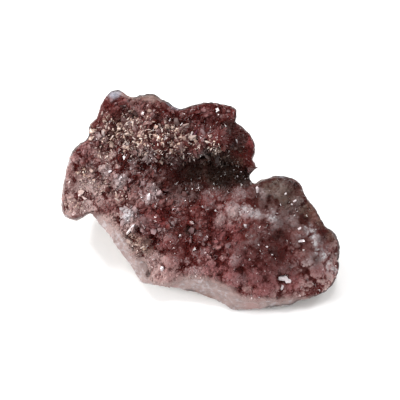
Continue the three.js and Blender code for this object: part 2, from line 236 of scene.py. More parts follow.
# the rounded lumps that the crystals grow over
lumps = {
    "sink": 1.15,  # mm from the solid's crystals down to the bed between the lumps
    "height": 0.56,  # of a lump's radius
    "warp": 0.7,  # mm that the lumps are pulled out of round, and over how much
    "warpSize": 2.2,
    "named": [  # across, up, radius
        (20.2, 2.4, 2.2), (24.5, 2.1, 2.4), (26.6, 4.3, 2.6), (30.3, 0, 2.3), (2.4, -1.3, 2.4),
        (5.4, 3.3, 2.8), (1.8, 1.3, 2.1), (12.2, 1.9, 3.1), (10.1, -2.5, 3.1), (6.4, -5.8, 2.4),
        (14.1, -3.7, 2.6), (18.1, -4.3, 2.5), (21.4, -4.9, 2.4), (23.9, -7, 2.7), (28.8, -6.7, 2.7),
        (31.6, -10.1, 2.8), (16.2, -12, 2.9), (18.7, -9.5, 2.4), (12.3, -14.4, 2.3), (26, -13.2, 1.9),
        (29.4, -12.6, 1.8), (33.4, -18.1, 3.3), (36.4, -12.6, 2.6), (39.5, -15, 2.6), (36.7, -22.1, 3),
        (26.7, -21.1, 2.4), (22.4, -23.6, 2.1), (17.2, -24.2, 3), (10.1, -24.5, 3.4), (19.9, -28, 3.1),
        (10.7, -19.3, 2.5), (30.6, -25.8, 2.8), (-2.1, 3.6, 2.3), (-5.8, -0.3, 2.4), (-9.8, -13.2, 3),
        (-16.2, 0.3, 2.8), (-22.7, -4.3, 2.6), (-18.4, -2, 2.1), (-15.2, -6, 3), (-15, 3.4, 2.4),
        (-11.3, -8.3, 2.4), (-18, -13.1, 2.8), (-14.6, -17.3, 2.2), (-9.2, -19, 3), (-10.7, -24.2, 2.8),
        (0.6, -10.8, 2.7), (5.7, 19.4, 3.7),
    ],
    "spare": {"count": 1150, "least": 0.9, "most": 2.2, "height": 0.54},  # scattered between them
    "fine": {"count": 5200, "least": 0.4, "most": 0.85, "height": 0.40},
    "margin": 3,  # mm at the grid's edge that stays free of those
    "seed": 11,
}
warpAcross, warpUp = (gridNoise(lumps["warpSize"], seed, 2) * lumps["warp"] for seed in (51, 55))


def domes(places, height):
    # the highest of many domes at each grid point, that dome's own tone, and how near its middle is
    rise = np.zeros(acrossGrid.shape)
    tone = np.full(acrossGrid.shape, 0.5)
    middle = np.zeros(acrossGrid.shape)
    for across, up, radius in places:
        reach = radius + lumps["warp"]
        low = int((up - reach - face["low"]) / face["step"])
        left = int((across - reach - face["left"]) / face["step"])
        size = int(2 * reach / face["step"]) + 2
        if low < 0 or left < 0:
            continue
        part = (slice(low, low + size), slice(left, left + size))
        offAcross = acrossGrid[part] + warpAcross[part] - across
        offUp = upGrid[part] + warpUp[part] - up
        inwards = np.clip(1 - (offAcross**2 + offUp**2) / radius**2, 0, 1)
        dome = radius * height * np.sqrt(inwards)
        higher = dome > rise[part]
        rise[part] = np.where(higher, dome, rise[part])
        tone[part] = np.where(higher, math.sin(across * 91.7 + up * 53.3) * 0.5 + 0.5, tone[part])
        middle[part] = np.where(higher, inwards, middle[part])
    return rise, tone, middle


def scatteredDomes(kind, draw):
    places = [
        (
            draw.uniform(face["left"] + lumps["margin"], face["right"] - lumps["margin"]),
            draw.uniform(face["low"] + lumps["margin"], face["high"] - lumps["margin"]),
            draw.uniform(kind["least"], kind["most"]),
        )
        for _ in range(kind["count"])
    ]
    return domes(places, kind["height"])


crust = {
    "thickness": 1.6,  # mm, of the bed's own mesh
    "grain": (0.9, 0.14),  # mm: the size of its fine roughness and how far it stands
    "seat": 0.5,  # how far round the solid's crust the rock's seat for it shows
    "overlap": 0.25,  # how far the bed laps over the rock's bare rim
    "laps": [  # and how much further at a few places: across, up, radius, mm
        (-12, -26, 4.6, 2), (-18.4, -21.4, 3.4, -1.5), (-24.4, -15, 2.6, -0.5), (2, -26.4, 3.2, -0.6),
        (16, -29.5, 6, 1.8), (25, -30.5, 5, 0.8), (-30.4, -8.6, 3, 0.7), (-21.4, -18.6, 2.6, 1.2),
    ],
    "ragged": (0.18, 0.5),  # how far its outline wanders at the narrow rim and at the wide bare band
    "raggedSize": 2.4,
    "raggedGain": 1.6,
    "shoulder": 1.0,  # how wide its rounded edge is
    "lip": 0.12,  # how far it stands over the rim there
    "fade": 2.4,  # how far it thins out towards the wide bare band
    "rise": 0.8,  # how far in it comes up out of the rock there, how steeply, and from how deep
    "riseSlope": 0.35,
    "riseFrom": -0.25,
    "band": (1.3, 2.4),  # the bare rim counts as that band from this width to the next
    "clear": 0.25,  # how far it stays inside the stone's outline
    "margin": 0.25,  # and inside the solids' box
    "blurs": {  # mm that each of these is softened by
        "knob": 0.2, "bead": 0.12, "tone": 0.22, "bare": 0.3, "band": 1, "edge": 0.3,
        "form": 1.1, "lumps": 0.25, "around": 2, "top": 0.2, "fine": 0.4, "broad": 1.6,
    },
}
blurs = crust["blurs"]

print("raising the lumps")
lumpDraw = np.random.default_rng(lumps["seed"])
namedRise, namedTone, namedMiddle = domes(lumps["named"], lumps["height"])
spareRise, spareTone, spareMiddle = scatteredDomes(lumps["spare"], lumpDraw)
fineRise, _, fineMiddle = scatteredDomes(lumps["fine"], lumpDraw)
isNamed = namedRise > spareRise
knobMiddle = blur(np.where(isNamed, namedMiddle, spareMiddle), blurs["knob"])
beadMiddle = blur(fineMiddle, blurs["bead"])
lumpTone = blur(np.where(isNamed, namedTone * 0.5 + 0.3, spareTone), blurs["tone"])

# where the crust ends, and where it thins out over the wide bare band
rimMask = ~crustMask & ~np.isnan(rockTop) & (insideCrust < -crust["seat"])
bareTop = blur(nearestOut(rockTop, rimMask), blurs["bare"])  # the bare rock's level, also under the crust
bareBand = softStep(blur(insideEdge - insideCrust, blurs["band"]), *crust["band"])
insideBed = blur(insideCrust, blurs["edge"]) + crust["overlap"]
for across, up, radius, lap in crust["laps"]:
    insideBed += lap * (1 - softStep(np.hypot(acrossGrid - across, upGrid - up) / radius, 0.4, 1.2))
narrowRagged, wideRagged = crust["ragged"]
wandering = narrowRagged + (wideRagged - narrowRagged) * bareBand
insideBed += gridNoise(crust["raggedSize"], 61, 3) * wandering * crust["raggedGain"]
insideBed = np.minimum(insideBed, insideEdge - crust["clear"])
thin = bareBand * (1 - softStep(insideBed, 0, crust["fade"]))

# the bed's level: the lumps on the solid's own form, rounded down to a lip at its edge
softTop = fillOut(blurInside(crustTop, crustMask, blurs["form"]), crustMask)
fullTop = softTop - lumps["sink"] + blur(np.maximum(namedRise, spareRise), blurs["lumps"]) + fineRise
proud = fullTop - blurInside(fullTop, crustMask, blurs["around"])  # how far a place stands out
proud = proud * softStep(insideBed, 0, 1.6)
rounding = np.sqrt(1 - (1 - np.clip(insideBed / crust["shoulder"], 0, 1)) ** 2)
insideRise = insideBed - crust["rise"] * bareBand
sunkLip = np.clip(insideRise * crust["riseSlope"], crust["riseFrom"], crust["lip"])
lipTop = bareTop + crust["lip"] * (1 - bareBand) + sunkLip * bareBand
bedTop = lipTop + (np.maximum(fullTop, lipTop + 0.2 * insideBed.clip(0, 2)) - lipTop) * rounding
bedTop = bedTop * (1 - thin) + (lipTop + fineRise * 0.4) * thin
bedTop = blur(bedTop, blurs["top"])
fineUp, fineAcross = np.gradient(blur(bedTop, blurs["fine"]), face["step"])
broadUp, broadAcross = np.gradient(blur(bedTop, blurs["broad"]), face["step"])

skin = {  # the dark line along the top and the right of the stone's outline
    "patches": 5,  # mm
    "slope": 0.02,  # how much more of it shows for each mm up or to the right
    "shows": (-0.3, 0.2),
    "width": (0.25, 0.95),  # mm from the outline, where it begins to fade and where it ends
}
skinLine = softStep(gridNoise(skin["patches"], 33) + (acrossGrid + upGrid) * skin["slope"], *skin["shows"])
skinLine = skinLine * (1 - softStep(insideEdge, *skin["width"]))

# where the crust has which colour, with painted light and shade among them: across, up, radius, strength
tints = {
    "pale": [
        (-38, 2, 8, 0.9), (-30, 6, 7, 0.8), (-22, 2, 7, 0.6), (-24, -8, 7, 0.8), (-20, -17, 6, 0.8),
        (-12, -24, 7, 0.9), (2, -26, 6, 0.7), (14, -30, 6, 0.5), (-16, 8, 6, 0.4), (-43, 8, 3, 0.9),
        (-31, 29, 3, 0.5), (-6, 28.6, 3, 0.5), (-34, 17, 4, 0.5), (-20, 28.5, 7, 0.35), (-12, 2, 6, 0.3),
        (-40, 12, 3, 0.5), (-41, -3, 4, 0.9),
    ],
    # pale lavender of the apron, and painted light on places the lamps leave darker
    "fairAndPaintedLight": [
        (-40, 1, 5, 0.4), (-42, -4, 3.5, 0.5), (-35, 4, 5, 0.6), (-38, 10, 4, 0.15), (-43.4, 6, 2.5, 0.6),
        (-33, 9, 3.5, 0.6), (-36, -1, 4, 0.6), (-31, 14, 3, 0.4), (-27, -6, 3, 0.3), (-23, -16, 3, 0.3),
        (-26, -11, 2.5, 0.4), (-18.6, -18, 3, 0.3), (-14, -22.6, 4, 0.4), (-12, -26, 4, 0.5),
        (-41.5, 12, 2.4, 0.3), (-22, 6, 3.4, 0.2), (-29, 1, 3, 0.2), (-20.4, -9, 3, 0.3), (-34, 0, 4, 0.4),
        (-32.5, 8, 3, 0.3), (-22, -10, 3.4, 0.5), (-28, 13.6, 3, 0.5), (-17.6, 12, 2.6, 0.4),
        (39, -27, 4, 0.6), (29.4, -15, 2.2, 0.15), (6.4, -6.4, 2.8, 0.3), (-13, -18, 3, 0.3),
        (-12, -10.6, 2.4, 0.25), (41, -20, 3, 0.25), (-24.6, 6, 2.4, 0.3), (-36.8, 3.2, 2, 0.8),
        (-31, 10.6, 2.2, 0.8), (35, -28.5, 4, 0.5), (41.6, -23, 3, 0.3), (-24.6, 5.4, 1.5, 0.7),
        (38, -28.5, 5, 0.7), (31, -31, 3.4, 0.5), (42.6, -14.5, 1.8, 0.4), (-43.7, -1.5, 1.8, 0.9),
        (-32.4, 8.6, 2.4, 0.9), (-21, -8, 2.4, 0.7), (14, -30, 3, 0.6), (25, -30, 3, 0.5),
        (41.4, -18, 1.8, 0.4), (10, -5, 2.6, 0.5), (5, -17, 3, 0.3), (33, -22, 2.2, 0.45), (38, -30, 5, 1),
        (-18.5, 20, 2, 0.5), (-21.5, 25, 2, 0.5), (-28.4, 18.6, 1.8, 0.5), (-15.6, 21.4, 2, 0.5),
        (-7, 18, 1.8, 0.4), (-5, 14, 1.8, 0.3), (-27, 14, 2.2, 0.5), (42.6, -20, 2, 0.5), (-42, -3, 3, 0.6),
        (-35, 5, 3, 0.6), (6, 30.4, 4, 0.3), (-4, 29.4, 3, 0.3), (-33, 8, 3.4, 1), (-36, 3, 2.6, 0.9),
        (-43, -1, 2.6, 0.8), (-18.4, 13.6, 2.6, 0.6), (-18, 18, 2, 0.5), (-26, 13, 2, 0.4),
        (-16, 22.6, 2, 0.4), (35, -30, 4, 0.9), (-14, -22.4, 3.4, 0.6), (-8, -23.4, 2.6, 0.4),
        (14, -29.6, 3.4, 0.7), (-33.4, 8.6, 2.6, 1), (-20, 16, 2.4, 0.9), (-19, 12.6, 2.2, 0.9),
        (-26.4, 12.6, 2.4, 0.8), (-16.6, 21.6, 1.8, 0.8), (-29.6, 19.6, 1.6, 0.8), (-6, 15.6, 1.8, 0.6),
        (-22, -8.4, 2, 0.9), (38, -30.6, 4, 1), (-20, -23, 2.4, 0.8), (35, -27.5, 4.5, 0.5),
        (40, -26.5, 3.6, 0.9), (-34, 6.6, 3, 1), (-35.4, 2, 2.4, 1),
    ],
    "pink": [
        (14, -28, 9, 0.9), (24, -28.5, 8, 0.8), (36, -27.5, 6, 0.8), (6, -22, 6.5, 0.8),
        (11, -18, 5.5, 0.5), (0, -23, 6, 0.3), (-9, -23, 5, 0.5), (41, -24, 4, 0.8), (7, -10, 5, 0.8),
        (5, -15, 4, 0.7), (-14, -13, 4, 0.5), (19, -22, 5, 0.2), (-19, -10, 4, 0.4), (-18, -7, 6.5, 0.3),
        (31, -29, 6, 0.8), (-38, 15, 4, 0.4), (2, 28, 6, 0.3),
    ],
    "dusk": [
        (22, 2, 7, 0.8), (28, -1, 6.5, 0.8), (31, -6, 5.5, 0.7), (36.5, -8, 4, 0.5), (26, 5, 5.5, 0.9),
        (33, -14, 5, 0.5), (18, 4, 4, 0.6), (35, -19, 4, 0.4), (10, 2, 5, 0.3), (25, -9, 4, 0.4),
        (-12, 8, 4, 0.3), (-21, 12, 3.5, 0.4), (20, -4, 6, 0.5), (41, -12, 3.4, 0.5), (30, -12, 4, 0.4),
        (-25, 24, 5, 0.4), (-4, 4, 5, 0.6), (-10, 5, 4, 0.4), (30, 4, 4, 0.5),
    ],
    "milk": [
        (-22.7, -4.2, 2.7, 1), (-25.6, 6.4, 2.4, 0.9), (-23.7, 10.6, 2.4, 0.8), (-15, 2.6, 2.8, 0.8),
        (-16.3, 0.3, 1.8, 0.7), (-30.7, 10.2, 2.8, 0.8), (-34.5, 4, 3.4, 0.6), (-37.8, 1.6, 3.4, 0.5),
        (7, -1.9, 2, 0.3), (10.2, -2.6, 2.2, 0.55), (14.1, -3.5, 2.6, 0.45), (17.9, -4.2, 2.2, 0.4),
        (21.4, -4.8, 2.6, 0.5), (24, -7, 2.5, 0.25), (28.8, -6.7, 2.2, 0.3), (12.8, 1.6, 2.4, 0.25),
        (19.8, 2.6, 2.4, 0.4), (31, 0, 2, 0.2), (24.4, 2.4, 1.8, 0.3), (16.3, -12.3, 2.2, 0.2),
        (10.6, -18.6, 2, 0.4), (29.1, -19.8, 2, 0.2), (33.6, -19.8, 2.6, 0.6), (-24.6, 17, 1.8, 0.7),
        (-17, 14, 2.4, 1), (-19, 9, 2.4, 0.5), (-9.6, 6, 2.4, 0.2), (-31.5, 20.6, 1.8, 0.6),
        (-26, -14.5, 2, 0.6), (-17.5, -20, 2.4, 0.5), (26.5, 4, 2.4, 0.2), (-2, 1, 2, 0.15),
        (-36, -1.5, 3, 0.6), (3, 2.6, 1.8, 0.3), (12.6, -24.8, 2.2, 0.3), (10.2, -5, 2.4, 0.6),
        (-2.4, -20.6, 3.4, 0.4), (-20, 14, 2.4, 0.8), (6, -6.4, 2, 0.4), (-8.6, -6.6, 2, 0.5),
        (-13, 2, 1.8, 0.6),
    ],
    "ash": [
        (-22.8, -4.3, 2.2, 0.8), (-22, -9.2, 1.5, 0.9), (34.6, -10.2, 1.7, 0.95), (36.2, -12.8, 1.6, 0.95),
        (37.1, -16, 1.7, 0.95), (39, -17.9, 1.7, 0.95), (40.6, -19.8, 1.7, 0.9), (41.6, -22.4, 1.7, 0.8),
        (-31, 9.5, 2.2, 0.7), (-25, 6, 1.8, 0.6), (-34, 5.5, 2, 0.5), (24, 6.4, 2.4, 0.4),
        (-23.7, 17.5, 1.5, 0.5), (-17.8, 13, 1.8, 0.5), (34, -8, 1.6, 0.6), (22.6, -5.6, 2, 0.6),
        (16.4, -4, 1.8, 0.5), (13.2, -3.4, 1.6, 0.4),
    ],
    "garnet": [
        (-12.8, -4.8, 3.8, 1), (-4.8, -8, 3.2, 1), (-3.2, -12.8, 3.8, 1), (2.6, -5.4, 2.4, 0.9),
        (11.2, -11.2, 3.8, 0.9), (16, -17.6, 4.2, 1), (24.6, -13.4, 3.8, 0.9), (19.8, -22.4, 3.6, 0.8),
        (4.8, -16, 3.4, 0.3), (8, -20.8, 3.8, 0.5), (16, -26, 4.2, 0.4), (29.8, 5.8, 1.6, 0.9),
        (41.9, -12.8, 2.2, 0.7), (37.8, -27.2, 3, 0.5), (42, -24.5, 2.2, 0.6), (-29.4, 28.8, 3.2, 0.5),
        (-38.4, 14.4, 3.6, 0.45), (-41.9, 6.4, 2, 0.4), (-18, 29.6, 4, 0.5), (-8, 27, 4, 0.4),
        (2, 27, 4, 0.8), (8.6, 27.6, 3.4, 0.6), (15.6, 16, 2.6, 1), (14.4, 20.8, 2.4, 1),
        (16.4, 11.4, 1.8, 1), (-25.6, 4, 2.4, 0.6), (-14.4, 9.6, 3.6, 0.7), (5.9, 20.4, 4, 0.7),
        (23.5, -28.5, 3.6, 0.4), (-20, 3, 2.2, 0.6), (12.8, 25.5, 2.4, 0.8), (-32, -1, 1.8, 0.5),
        (0, 22, 5, 0.6), (-24, 29, 4, 0.4), (27, -17, 4, 0.7), (-7, 8, 3, 0.7), (-28, 24, 4, 0.5),
        (-16, -9, 3, 0.6), (5, -9.5, 4, 0.4), (17, -9, 3.4, 0.6), (20.4, -12.6, 3.6, 0.8),
        (22, -17.4, 3.8, 0.9), (30.4, -22, 3.4, 0.5), (-8.6, 3.6, 3.2, 0.6), (-3, 4, 3, 0.5),
        (2, 0.4, 2.6, 0.4), (10, 0, 2.6, 0.3), (-19.6, -14.8, 2.4, 0.5), (-42.8, -3.2, 1.5, 0.7),
        (-24.6, -12.4, 1.8, 0.5), (-30.8, -4.4, 1.7, 0.5), (8, 22.6, 3.6, 0.6), (-41.4, 9, 1.9, 0.7),
        (-30, 6, 1.5, 0.7), (-21.8, 6.1, 2.2, 1), (-27.2, -3.2, 2.6, 0.9), (-42.9, -4.8, 1, 1),
        (-38.7, -0.6, 1.1, 1), (-25.8, -2.6, 1.4, 0.8), (-33, 17, 2.4, 0.4), (-28.6, 3.2, 1.4, 0.8),
        (3, 6, 3, 0.4), (-5, 5.4, 3, 0.6), (-34, 24, 3, 0.7), (-19, -2, 2, 0.6), (8, 25, 4, 0.3),
        (-42, 4.6, 1.4, 0.6), (10, -26, 4, 0.5), (20, -26.5, 4, 0.5), (-10, 15, 3, 0.5), (-22, 14, 3, 0.4),
        (12, -28, 4, 0.7), (-26, -8.6, 1.8, 0.5), (-20.6, -17.4, 2, 0.6), (30.4, 4.8, 2.6, 1),
        (-13.4, 15.6, 2.4, 0.8), (-23, 16, 2, 0.7), (-8.6, 14, 2.4, 0.8), (-25.6, 20.6, 1.8, 0.7),
        (-2, 15, 2, 0.6), (11, 29, 3, 0.9), (18, -22, 6, 1), (-5, -9.6, 3, 1), (-18, -11, 2.6, 0.8),
        (-10, -14, 3, 0.8),
    ],
    "scarlet": [
        (15.2, 22.2, 1.6, 0.4), (16.2, 18.4, 1.6, 0.6), (16.9, 15, 1.6, 0.6), (16.6, 11.4, 1.3, 0.4),
        (39, -27, 2.2, 0.5), (-12, -6, 2, 0.3), (11.6, -10.8, 2.2, 0.2), (42.4, -21, 1.4, 0.4),
        (13.4, 26.6, 1.6, 0.3), (-24, 30.6, 1.8, 0.3), (11.4, 28, 1.8, 0.5), (14.6, -27.6, 3, 0.6),
        (7, 16.6, 2, 0.3),
    ],
    "gold": [
        (-28.4, 20.2, 3, 1), (-18.9, 18.4, 2.2, 1), (-14.8, 21, 2, 1), (-11.8, 18.3, 2, 1),
        (-20.8, 25, 2.2, 0.8), (-25.6, 23.8, 2.4, 0.9), (-9, 20.8, 2, 0.8), (-16.2, 25.4, 2, 0.8),
        (-34, 21.5, 2, 0.8), (-5.8, 13.6, 2.4, 0.6), (-22.4, 15.6, 2.4, 0.9), (2.4, 17.6, 2, 0.9),
        (-36.5, 7.5, 3, 0.6), (-26, 2, 2.6, 0.6), (-32.5, 3.5, 2.4, 0.6), (4.6, 16.4, 2, 0.8),
        (-12.5, 13, 2, 0.5), (-24, -12.5, 2.6, 0.7), (-22, 21, 6, 0.7), (-10, 19, 6, 0.7),
        (-30, 15, 3, 0.7), (-3, 17, 4, 0.6), (-21, -13.5, 3, 0.6), (-27, -6, 2.6, 0.5), (-30, 5, 3, 0.5),
        (-36, 1, 3, 0.4), (-19, -16, 3, 0.5), (-24, 0, 3, 0.5), (-37.4, 8.3, 2.4, 0.9),
        (-29.4, 19.5, 1.7, 1), (-19.2, 18.2, 1.8, 1), (-35.2, 6, 2, 0.7), (-30, 25, 3, 0.6),
        (-15, 28, 3, 0.4), (-4, 22, 3, 0.2), (6.4, 12, 3, 0.3), (-21.4, 25.4, 3, 0.9),
        (-16.6, 18.6, 3, 0.8), (-40, -1, 3, 0.4), (-18.4, 14.6, 2.2, 0.7), (-7.4, 17.6, 2, 0.8),
    ],
    "olive": [
        (-21.8, -13.4, 3.4, 0.7), (-16.6, -15, 3, 0.7), (6.4, 10, 6.5, 0.9), (13, 8.5, 4, 0.7),
        (-1.5, 9, 4, 0.7), (22.4, 4.4, 3.6, 0.6), (26.4, 1.6, 4, 0.6), (31.4, 2, 3.4, 0.3),
        (39, -7, 3, 0.7), (12, 13.5, 3, 0.8), (34, -3, 3.4, 0.7), (24, 6.5, 3, 0.8), (41.5, -11, 2.4, 0.6),
        (4, 12, 4, 0.9),
    ],
    # painted shade: the dark of the hollow under the wall, its pits and the gaps at the rim, laid on as
    # colour, and darkening on some other patches
    "paintedShade": [
        (7, 9.6, 7.5, 1), (13.4, 7.4, 3.6, 1), (-1.8, 8.6, 4, 0.9), (12.2, 17, 2.4, 0.8),
        (-4.6, -9.8, 2, 0.5), (22.6, -15.8, 2.2, 0.6), (24.4, -12.4, 2, 0.5), (-6, 14, 2.6, 0.5),
        (-21.8, 27.2, 1.6, 0.7), (-13, 26.2, 2, 0.5), (-23.9, 29.4, 1.2, 0.9), (16.2, 7.6, 2.2, 1),
        (-16.5, 11, 2.6, 0.4), (-10, 12.5, 3, 0.6), (-19.5, -9.5, 1.6, 0.3), (-5, 10, 4, 0.7),
        (2, 13, 4, 0.8), (11, 12.5, 3, 0.7), (9.4, 23.4, 3.4, 0.4), (2.6, 24, 3.4, 0.3), (-4, 24.6, 3, 0.3),
        (12.6, 21.4, 2.6, 0.5), (12, 21, 4.4, 0.35), (11, 16, 4, 0.45), (20, -17, 6.5, 0.3),
        (25, -21, 5, 0.25), (14, -14, 5, 0.25), (-7, 4, 4, 0.35), (0, 3.4, 4, 0.35), (26, 5, 4, 0.2),
        (26, -6, 3.4, 0.25), (31, -3, 4, 0.25), (3, -4, 3, 0.2), (-7, -8, 3, 0.2), (9, 24, 3, 0.3),
        (30, 5.6, 3, 0.25), (-24, 18.6, 2.4, 0.2), (-4, 5, 3.6, 0.45), (-8.6, 1.6, 3, 0.35),
        (17, -19, 8, 0.2), (-24, 19.6, 3, 0.25), (-31, 15, 2.4, 0.2), (-28.6, 5.6, 2, 0.3),
        (13, 18.4, 3, 0.35), (8.6, 22.6, 3, 0.25), (-4, 22, 3, 0.25), (-3, 4.4, 3.6, 0.6),
        (-8.4, 1.6, 2.8, 0.5), (-1.5, -9.6, 2.2, 0.35), (31, 5.6, 2.8, 0.55), (13.2, 18.4, 3, 0.6),
        (9.6, 22.8, 3.2, 0.55), (23, -20, 5, 0.4), (16, -17, 3, 0.35), (-9, 24.6, 2.8, 0.6),
        (-2.6, 21.6, 2, 0.4), (9, 23.2, 3, 0.8), (31, 6, 3.4, 0.65), (-3.4, -9.2, 2.2, 0.75),
        (38.4, -11.6, 1.8, 0.3), (37, -19, 1.6, 0.3), (20, -20, 4, 0.35), (16, -20, 7, 0.3),
        (26, -7, 3.4, 0.3), (-39, 6, 3, 0.25), (30.6, 6.4, 3, 0.75), (-2.6, 20, 2.6, 0.5),
        (-28, 2.6, 2, 0.25), (-20.6, 4.4, 2.4, 0.25), (42, -16.6, 1.6, 0.25), (28, -4, 3.4, 0.3),
        (13, 19, 2.6, 0.7), (-16.6, -6.8, 2.6, 0.3), (-2, 3, 4, 0.35), (-14.6, 14.8, 1.8, 0.4),
        (-23.6, 19, 2.6, 0.3), (18, -21, 6, 0.3), (26, -21.6, 3, 0.5), (-3.6, -9.2, 1.8, 0.9),
        (24.6, -6.8, 2.2, 0.5), (-2.6, 19.6, 2, 0.7), (-17.6, -12.6, 1.8, 0.5), (38.2, -12, 1.4, 0.5),
        (36.6, -18.4, 1.4, 0.5), (42.2, -17, 1.4, 0.4), (-7.6, 3, 2.6, 0.6), (1, 4.4, 2.6, 0.5),
        (-14, 4, 2, 0.35), (22, 1, 7, 0.2), (29, 1, 6.5, 0.26), (15, -13.5, 6.5, 0.42), (23, -12, 5, 0.38),
    ],
    "tan": [
        (-20.6, 33, 1.6, 0.9), (-17.6, 33, 1.6, 0.9), (-14.6, 32.8, 1.6, 0.9),
    ],
    "blue": [
        (-27, 34, 2, 1), (-8.6, 30, 1.5, 0.9), (-6.8, 29.4, 1.1, 0.8),
    ],
    "coarse": [  # where the crystals are large and lie every way
        (-30, 19.5, 5, 1), (-22, 19.5, 6, 1), (-13, 19, 6, 1), (-4, 18, 6, 1), (3, 16, 4, 0.7),
        (-24, 8, 7, 0.8), (-33, 6, 5, 0.7), (-16, 2, 6, 0.7), (-20, -6, 5, 0.8), (-24, -11, 3, 0.7),
        (-16, 13, 6, 0.9), (-4, 2, 4, 0.4), (-8, -4, 5, 0.5), (-1, -12, 4, 0.6), (6, -15, 4, 0.4),
        (-20, 24, 5, 0.7), (-14, -10, 4, 0.5), (-36, 12, 4, 0.5), (2, 20, 4, 0.5), (-40, 0, 4, 0.5),
        (-5, 27, 6, 0.35), (-22, 29, 5, 0.35), (6, 27, 5, 0.3),
    ],
    "smooth": [  # where few grains stand on the knobs
        (22, 0, 12, 1), (32, -10, 10, 1), (36, -20, 9, 1), (20, -18, 12, 0.9), (8, -4, 8, 0.8),
        (0, 4, 6, 0.6), (14, -28, 9, 0.7), (29, -27, 7, 0.8), (-10, -18, 7, 0.6), (-12, -25, 5, 0.4),
        (-15, -5, 5, 0.4), (5, 19, 5, 0.4), (-37, 4, 8, 0.6), (-25, 6, 6, 0.5), (-40, -2, 5, 0.7),
        (-30, 12, 5, 0.4), (-12, 2, 7, 0.5), (-2, -6, 7, 0.6), (4, -14, 8, 0.6), (8, 28, 5, 0.3),
    ],
}
tintWander = {"by": 1.3, "size": 2.6}  # mm that the patches' outlines wander, and over how much


def tintAt(name, across, up):
    places = onFlat(across, up)
    a = across + noiseAt(places, tintWander["size"], 3, 2) * tintWander["by"]
    u = up + noiseAt(places, tintWander["size"], 7, 2) * tintWander["by"]
    total = np.zeros(len(across))
    for atAcross, atUp, radius, strength in tints[name]:
        off = np.hypot(a - atAcross, u - atUp) / radius
        total = np.maximum(total, strength * (1 - softStep(off, 0.45, 1.35)))
    return total


def smoothPatch(across, up):
    # where the crust is smooth, without crystals
    return np.maximum(tintAt("tan", across, up), tintAt("blue", across, up))


def giveAttributes(mesh, values, domain="POINT"):
    for name, numbers in values.items():
        attribute = mesh.attributes.new(name, "FLOAT", domain)
        attribute.data.foreach_set("value", np.asarray(numbers, np.float32))


def tintValues(across, up):
    # one number of each tint for every corner of a mesh, which its material reads
    values = {name: tintAt(name, across, up) for name in tints}
    values["tone"] = atGrid(lumpTone, across, up)
    # how far a place stands proud and how near a knob's or bead's middle it is, which the material turns
    # into painted light and shade
    values["proud"] = np.clip(atGrid(proud, across, up) * 0.75 + 0.5, 0, 1)
    values["knob"] = atGrid(knobMiddle, across, up)
    values["bead"] = atGrid(beadMiddle, across, up)
    patchy = 1.35 + noiseAt(onFlat(across, up), 1.2, 17, 2)
    values["thin"] = np.clip(atGrid(thin, across, up) * patchy, 0, 1)
    return values


class Wire:
    # a node's output, on which sums can be done as on a number
    def __init__(self, socket):
        self.socket = socket
        self.tree = socket.id_data

    def maths(self, operation, other):
        node = self.tree.nodes.new("ShaderNodeMath")
        node.operation = operation
        feed(node.inputs[0], self)
        feed(node.inputs[1], other)
        return Wire(node.outputs[0])

    def __add__(self, other):
        return self.maths("ADD", other)

    def __sub__(self, other):
        return self.maths("SUBTRACT", other)

    def __mul__(self, other):
        return self.maths("MULTIPLY", other)

    def between(self, low, high, start=0, end=1):
        # takes the range from low to high onto the one from start to end
        node = self.tree.nodes.new("ShaderNodeMapRange")
        feed(node.inputs["Value"], self)
        for name, number in (("From Min", low), ("From Max", high), ("To Min", start), ("To Max", end)):
            node.inputs[name].default_value = number
        return Wire(node.outputs["Result"])


def feed(socket, value):
    if isinstance(value, Wire):
        value.tree.links.new(value.socket, socket)
    elif socket.type == "RGBA":
        socket.default_value = (*value, 1)
    else:
        socket.default_value = value


def newMaterial(name):
    material = bpy.data.materials.new(name)
    material.use_nodes = True
    return material, material.node_tree, material.node_tree.nodes["Principled BSDF"]


def tint(tree, name):
    # what giveAttributes has written on the mesh under this name
    node = tree.nodes.new("ShaderNodeAttribute")
    node.attribute_name = name
    return Wire(node.outputs["Fac"])


def texture(tree, kind, size, output, settings):
    # a pattern whose features are so many millimetres across
    node = tree.nodes.new(kind)
    tree.links.new(tree.nodes.new("ShaderNodeTexCoord").outputs["Object"], node.inputs["Vector"])
    node.inputs["Scale"].default_value = 1000 / size
    for name, value in settings.items():
        node.inputs[name].default_value = value
    return Wire(node.outputs[output])


def cloudNoise(tree, size, detail=2, roughness=0.5):
    return texture(tree, "ShaderNodeTexNoise", size, "Fac", {"Detail": detail, "Roughness": roughness})


def mixColours(share, first, second):
    node = share.tree.nodes.new("ShaderNodeMix")
    node.data_type = "RGBA"
    for place, value in ((0, share), (6, first), (7, second)):
        feed(node.inputs[place], value)
    return Wire(node.outputs[2])


def addBump(shader, height, strength, depth):
    node = height.tree.nodes.new("ShaderNodeBump")
    feed(node.inputs["Height"], height)
    node.inputs["Strength"].default_value = strength
    node.inputs["Distance"].default_value = depth * mm
    height.tree.links.new(node.outputs["Normal"], shader.inputs["Normal"])


